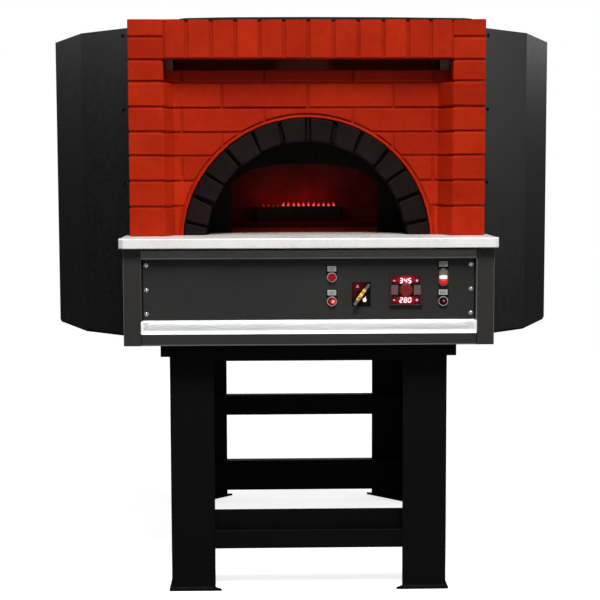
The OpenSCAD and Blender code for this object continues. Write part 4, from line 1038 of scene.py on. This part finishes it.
w = bpy.data.worlds.new("studio"); sc.world = w; w.use_nodes = True
t = w.node_tree; t.nodes.clear()
wo = t.nodes.new("ShaderNodeOutputWorld")
tc = t.nodes.new("ShaderNodeTexCoord")
sp = t.nodes.new("ShaderNodeSeparateXYZ"); t.links.new(tc.outputs["Generated"], sp.inputs[0])
rz = t.nodes.new("ShaderNodeMapRange"); t.links.new(sp.outputs["Z"], rz.inputs[0])
for i, v in enumerate((-0.06, 0.40, 0.02, 0.34)): rz.inputs[i + 1].default_value = v
rx = t.nodes.new("ShaderNodeMapRange"); t.links.new(sp.outputs["X"], rx.inputs[0])
for i, v in enumerate((-0.9, 0.9, 0.30, 1.0)): rx.inputs[i + 1].default_value = v
mu = t.nodes.new("ShaderNodeMath"); mu.operation = "MULTIPLY"; t.links.new(rz.outputs[0], mu.inputs[0]); t.links.new(rx.outputs[0], mu.inputs[1])
bg = t.nodes.new("ShaderNodeBackground"); t.links.new(mu.outputs[0], bg.inputs["Color"]); bg.inputs["Strength"].default_value = 1.0
bw = t.nodes.new("ShaderNodeBackground"); bw.inputs["Color"].default_value = (1, 1, 1, 1); bw.inputs["Strength"].default_value = 1.0
l2 = t.nodes.new("ShaderNodeLightPath")
mm = t.nodes.new("ShaderNodeMixShader")
t.links.new(l2.outputs["Is Camera Ray"], mm.inputs[0]); t.links.new(bg.outputs[0], mm.inputs[1]); t.links.new(bw.outputs[0], mm.inputs[2])
t.links.new(mm.outputs[0], wo.inputs[0])


def area(name, loc, target, size, power, color=(1, 1, 1), size_y=None, spec=1.0):
    l = bpy.data.lights.new(name, "AREA")
    l.shape = "RECTANGLE"; l.size = size; l.size_y = size_y or size
    l.energy = power; l.color = color
    l.specular_factor = spec
    o = bpy.data.objects.new(name, l)
    o.location = loc
    o.rotation_euler = (Vector(target) - Vector(loc)).to_track_quat("-Z", "Y").to_euler()
    o.visible_camera = False
    sc.collection.objects.link(o)
    return o


area("key", (0.12, -4.1, 6.0), (0, -0.6, 1.2), 1.6, 452, size_y=2.1)
area("front_low", (0.2, -7.2, 0.45), (0.0, -0.9, 0.95), 5.0, 20, size_y=1.1)
tray_light = area("tray_soft", (0.1, -2.7, 1.9), (0, -0.78, 0.82), 1.6, 84, size_y=0.6)
only = bpy.data.collections.new("tray_light_receivers"); only.objects.link(N["slot_tray"]); only.objects.link(TRAY_HEM)
none = bpy.data.collections.new("tray_light_blockers"); none.objects.link(N["slot_tray"])
tray_light.light_linking.receiver_collection = only
tray_light.light_linking.blocker_collection = none
area("soft_left", (-5.0, -0.45, 3.35), (-0.6, -0.4, 1.5), 1.7, 42, size_y=1.2)
area("soft_right", (5.2, -1.6, 2.6), (0.5, -0.2, 1.2), 2.4, 75)
area("soft_back_left", (-4.4, 3.6, 3.5), (-0.6, 0.2, 1.5), 1.8, 26, size_y=1.5)
area("soft_back_right", (4.4, 3.6, 3.0), (0.6, 0.2, 1.5), 2.0, 15, size_y=1.8)
area("soft_back", (0.0, 6.8, 3.4), (0.0, 0.5, 1.3), 4.6, 46, size_y=2.2)
def glow(name, loc, energy, color, size):
    l = bpy.data.lights.new(name, "POINT"); l.energy = energy; l.color = color; l.shadow_soft_size = size
    o = bpy.data.objects.new(name, l); o.location = loc; o.visible_glossy = False; sc.collection.objects.link(o)


for x in (-95, -35, 25, 85):
    glow("burner_glow_%d" % (x + 100), P(x, 1412, 1172), 0.10, (1.0, 0.02, 0.016), 0.03)
for x in (-380, -190, 190, 380):
    glow("hood_bounce_%d" % (x + 400), P(x, 410, 1692), 0.42, (1.0, 0.50, 0.42), 0.06)
glow("chamber_glow", P(20, 740, 1360), 0.36, (0.84, 0.27, 0.27), 0.12)
glow("hearth_glow", P(0, 700, 1230), 0.11, (1.0, 0.20, 0.14), 0.10)
glow("ember_right", P(150, 1405, 1128), 0.03, (1.0, 0.02, 0.015), 0.02)
glow("display_upper_glow", P(289, 20, 962), 0.0042, (1.0, 0.02, 0.05), 0.012)
glow("display_lower_glow", P(289, 20, 902), 0.0042, (1.0, 0.02, 0.05), 0.012)
glow("lens_glow", P(401, 22, 970), 0.0016, (1.0, 0.45, 0.42), 0.006)

cam = bpy.data.cameras.new("camera")
cam.sensor_width = 36; cam.lens = 1389.3 / 600 * 36
cam.clip_start = 0.1; cam.clip_end = 100
co = bpy.data.objects.new("camera", cam); sc.collection.objects.link(co)
th, ps, ro = math.radians(5.11), math.radians(1.315), math.radians(-0.17)
fwd = Vector((math.sin(ps) * math.cos(th), math.cos(ps) * math.cos(th), -math.sin(th)))
right = Vector((math.cos(ps), -math.sin(ps), 0)); up = right.cross(fwd)
r2 = math.cos(ro) * right + math.sin(ro) * up; u2 = -math.sin(ro) * right + math.cos(ro) * up
co.matrix_world = Matrix(((r2.x, u2.x, -fwd.x, -0.1219), (r2.y, u2.y, -fwd.y, -4.0851 - D), (r2.z, u2.z, -fwd.z, 1.2726), (0, 0, 0, 1)))
sc.camera = co
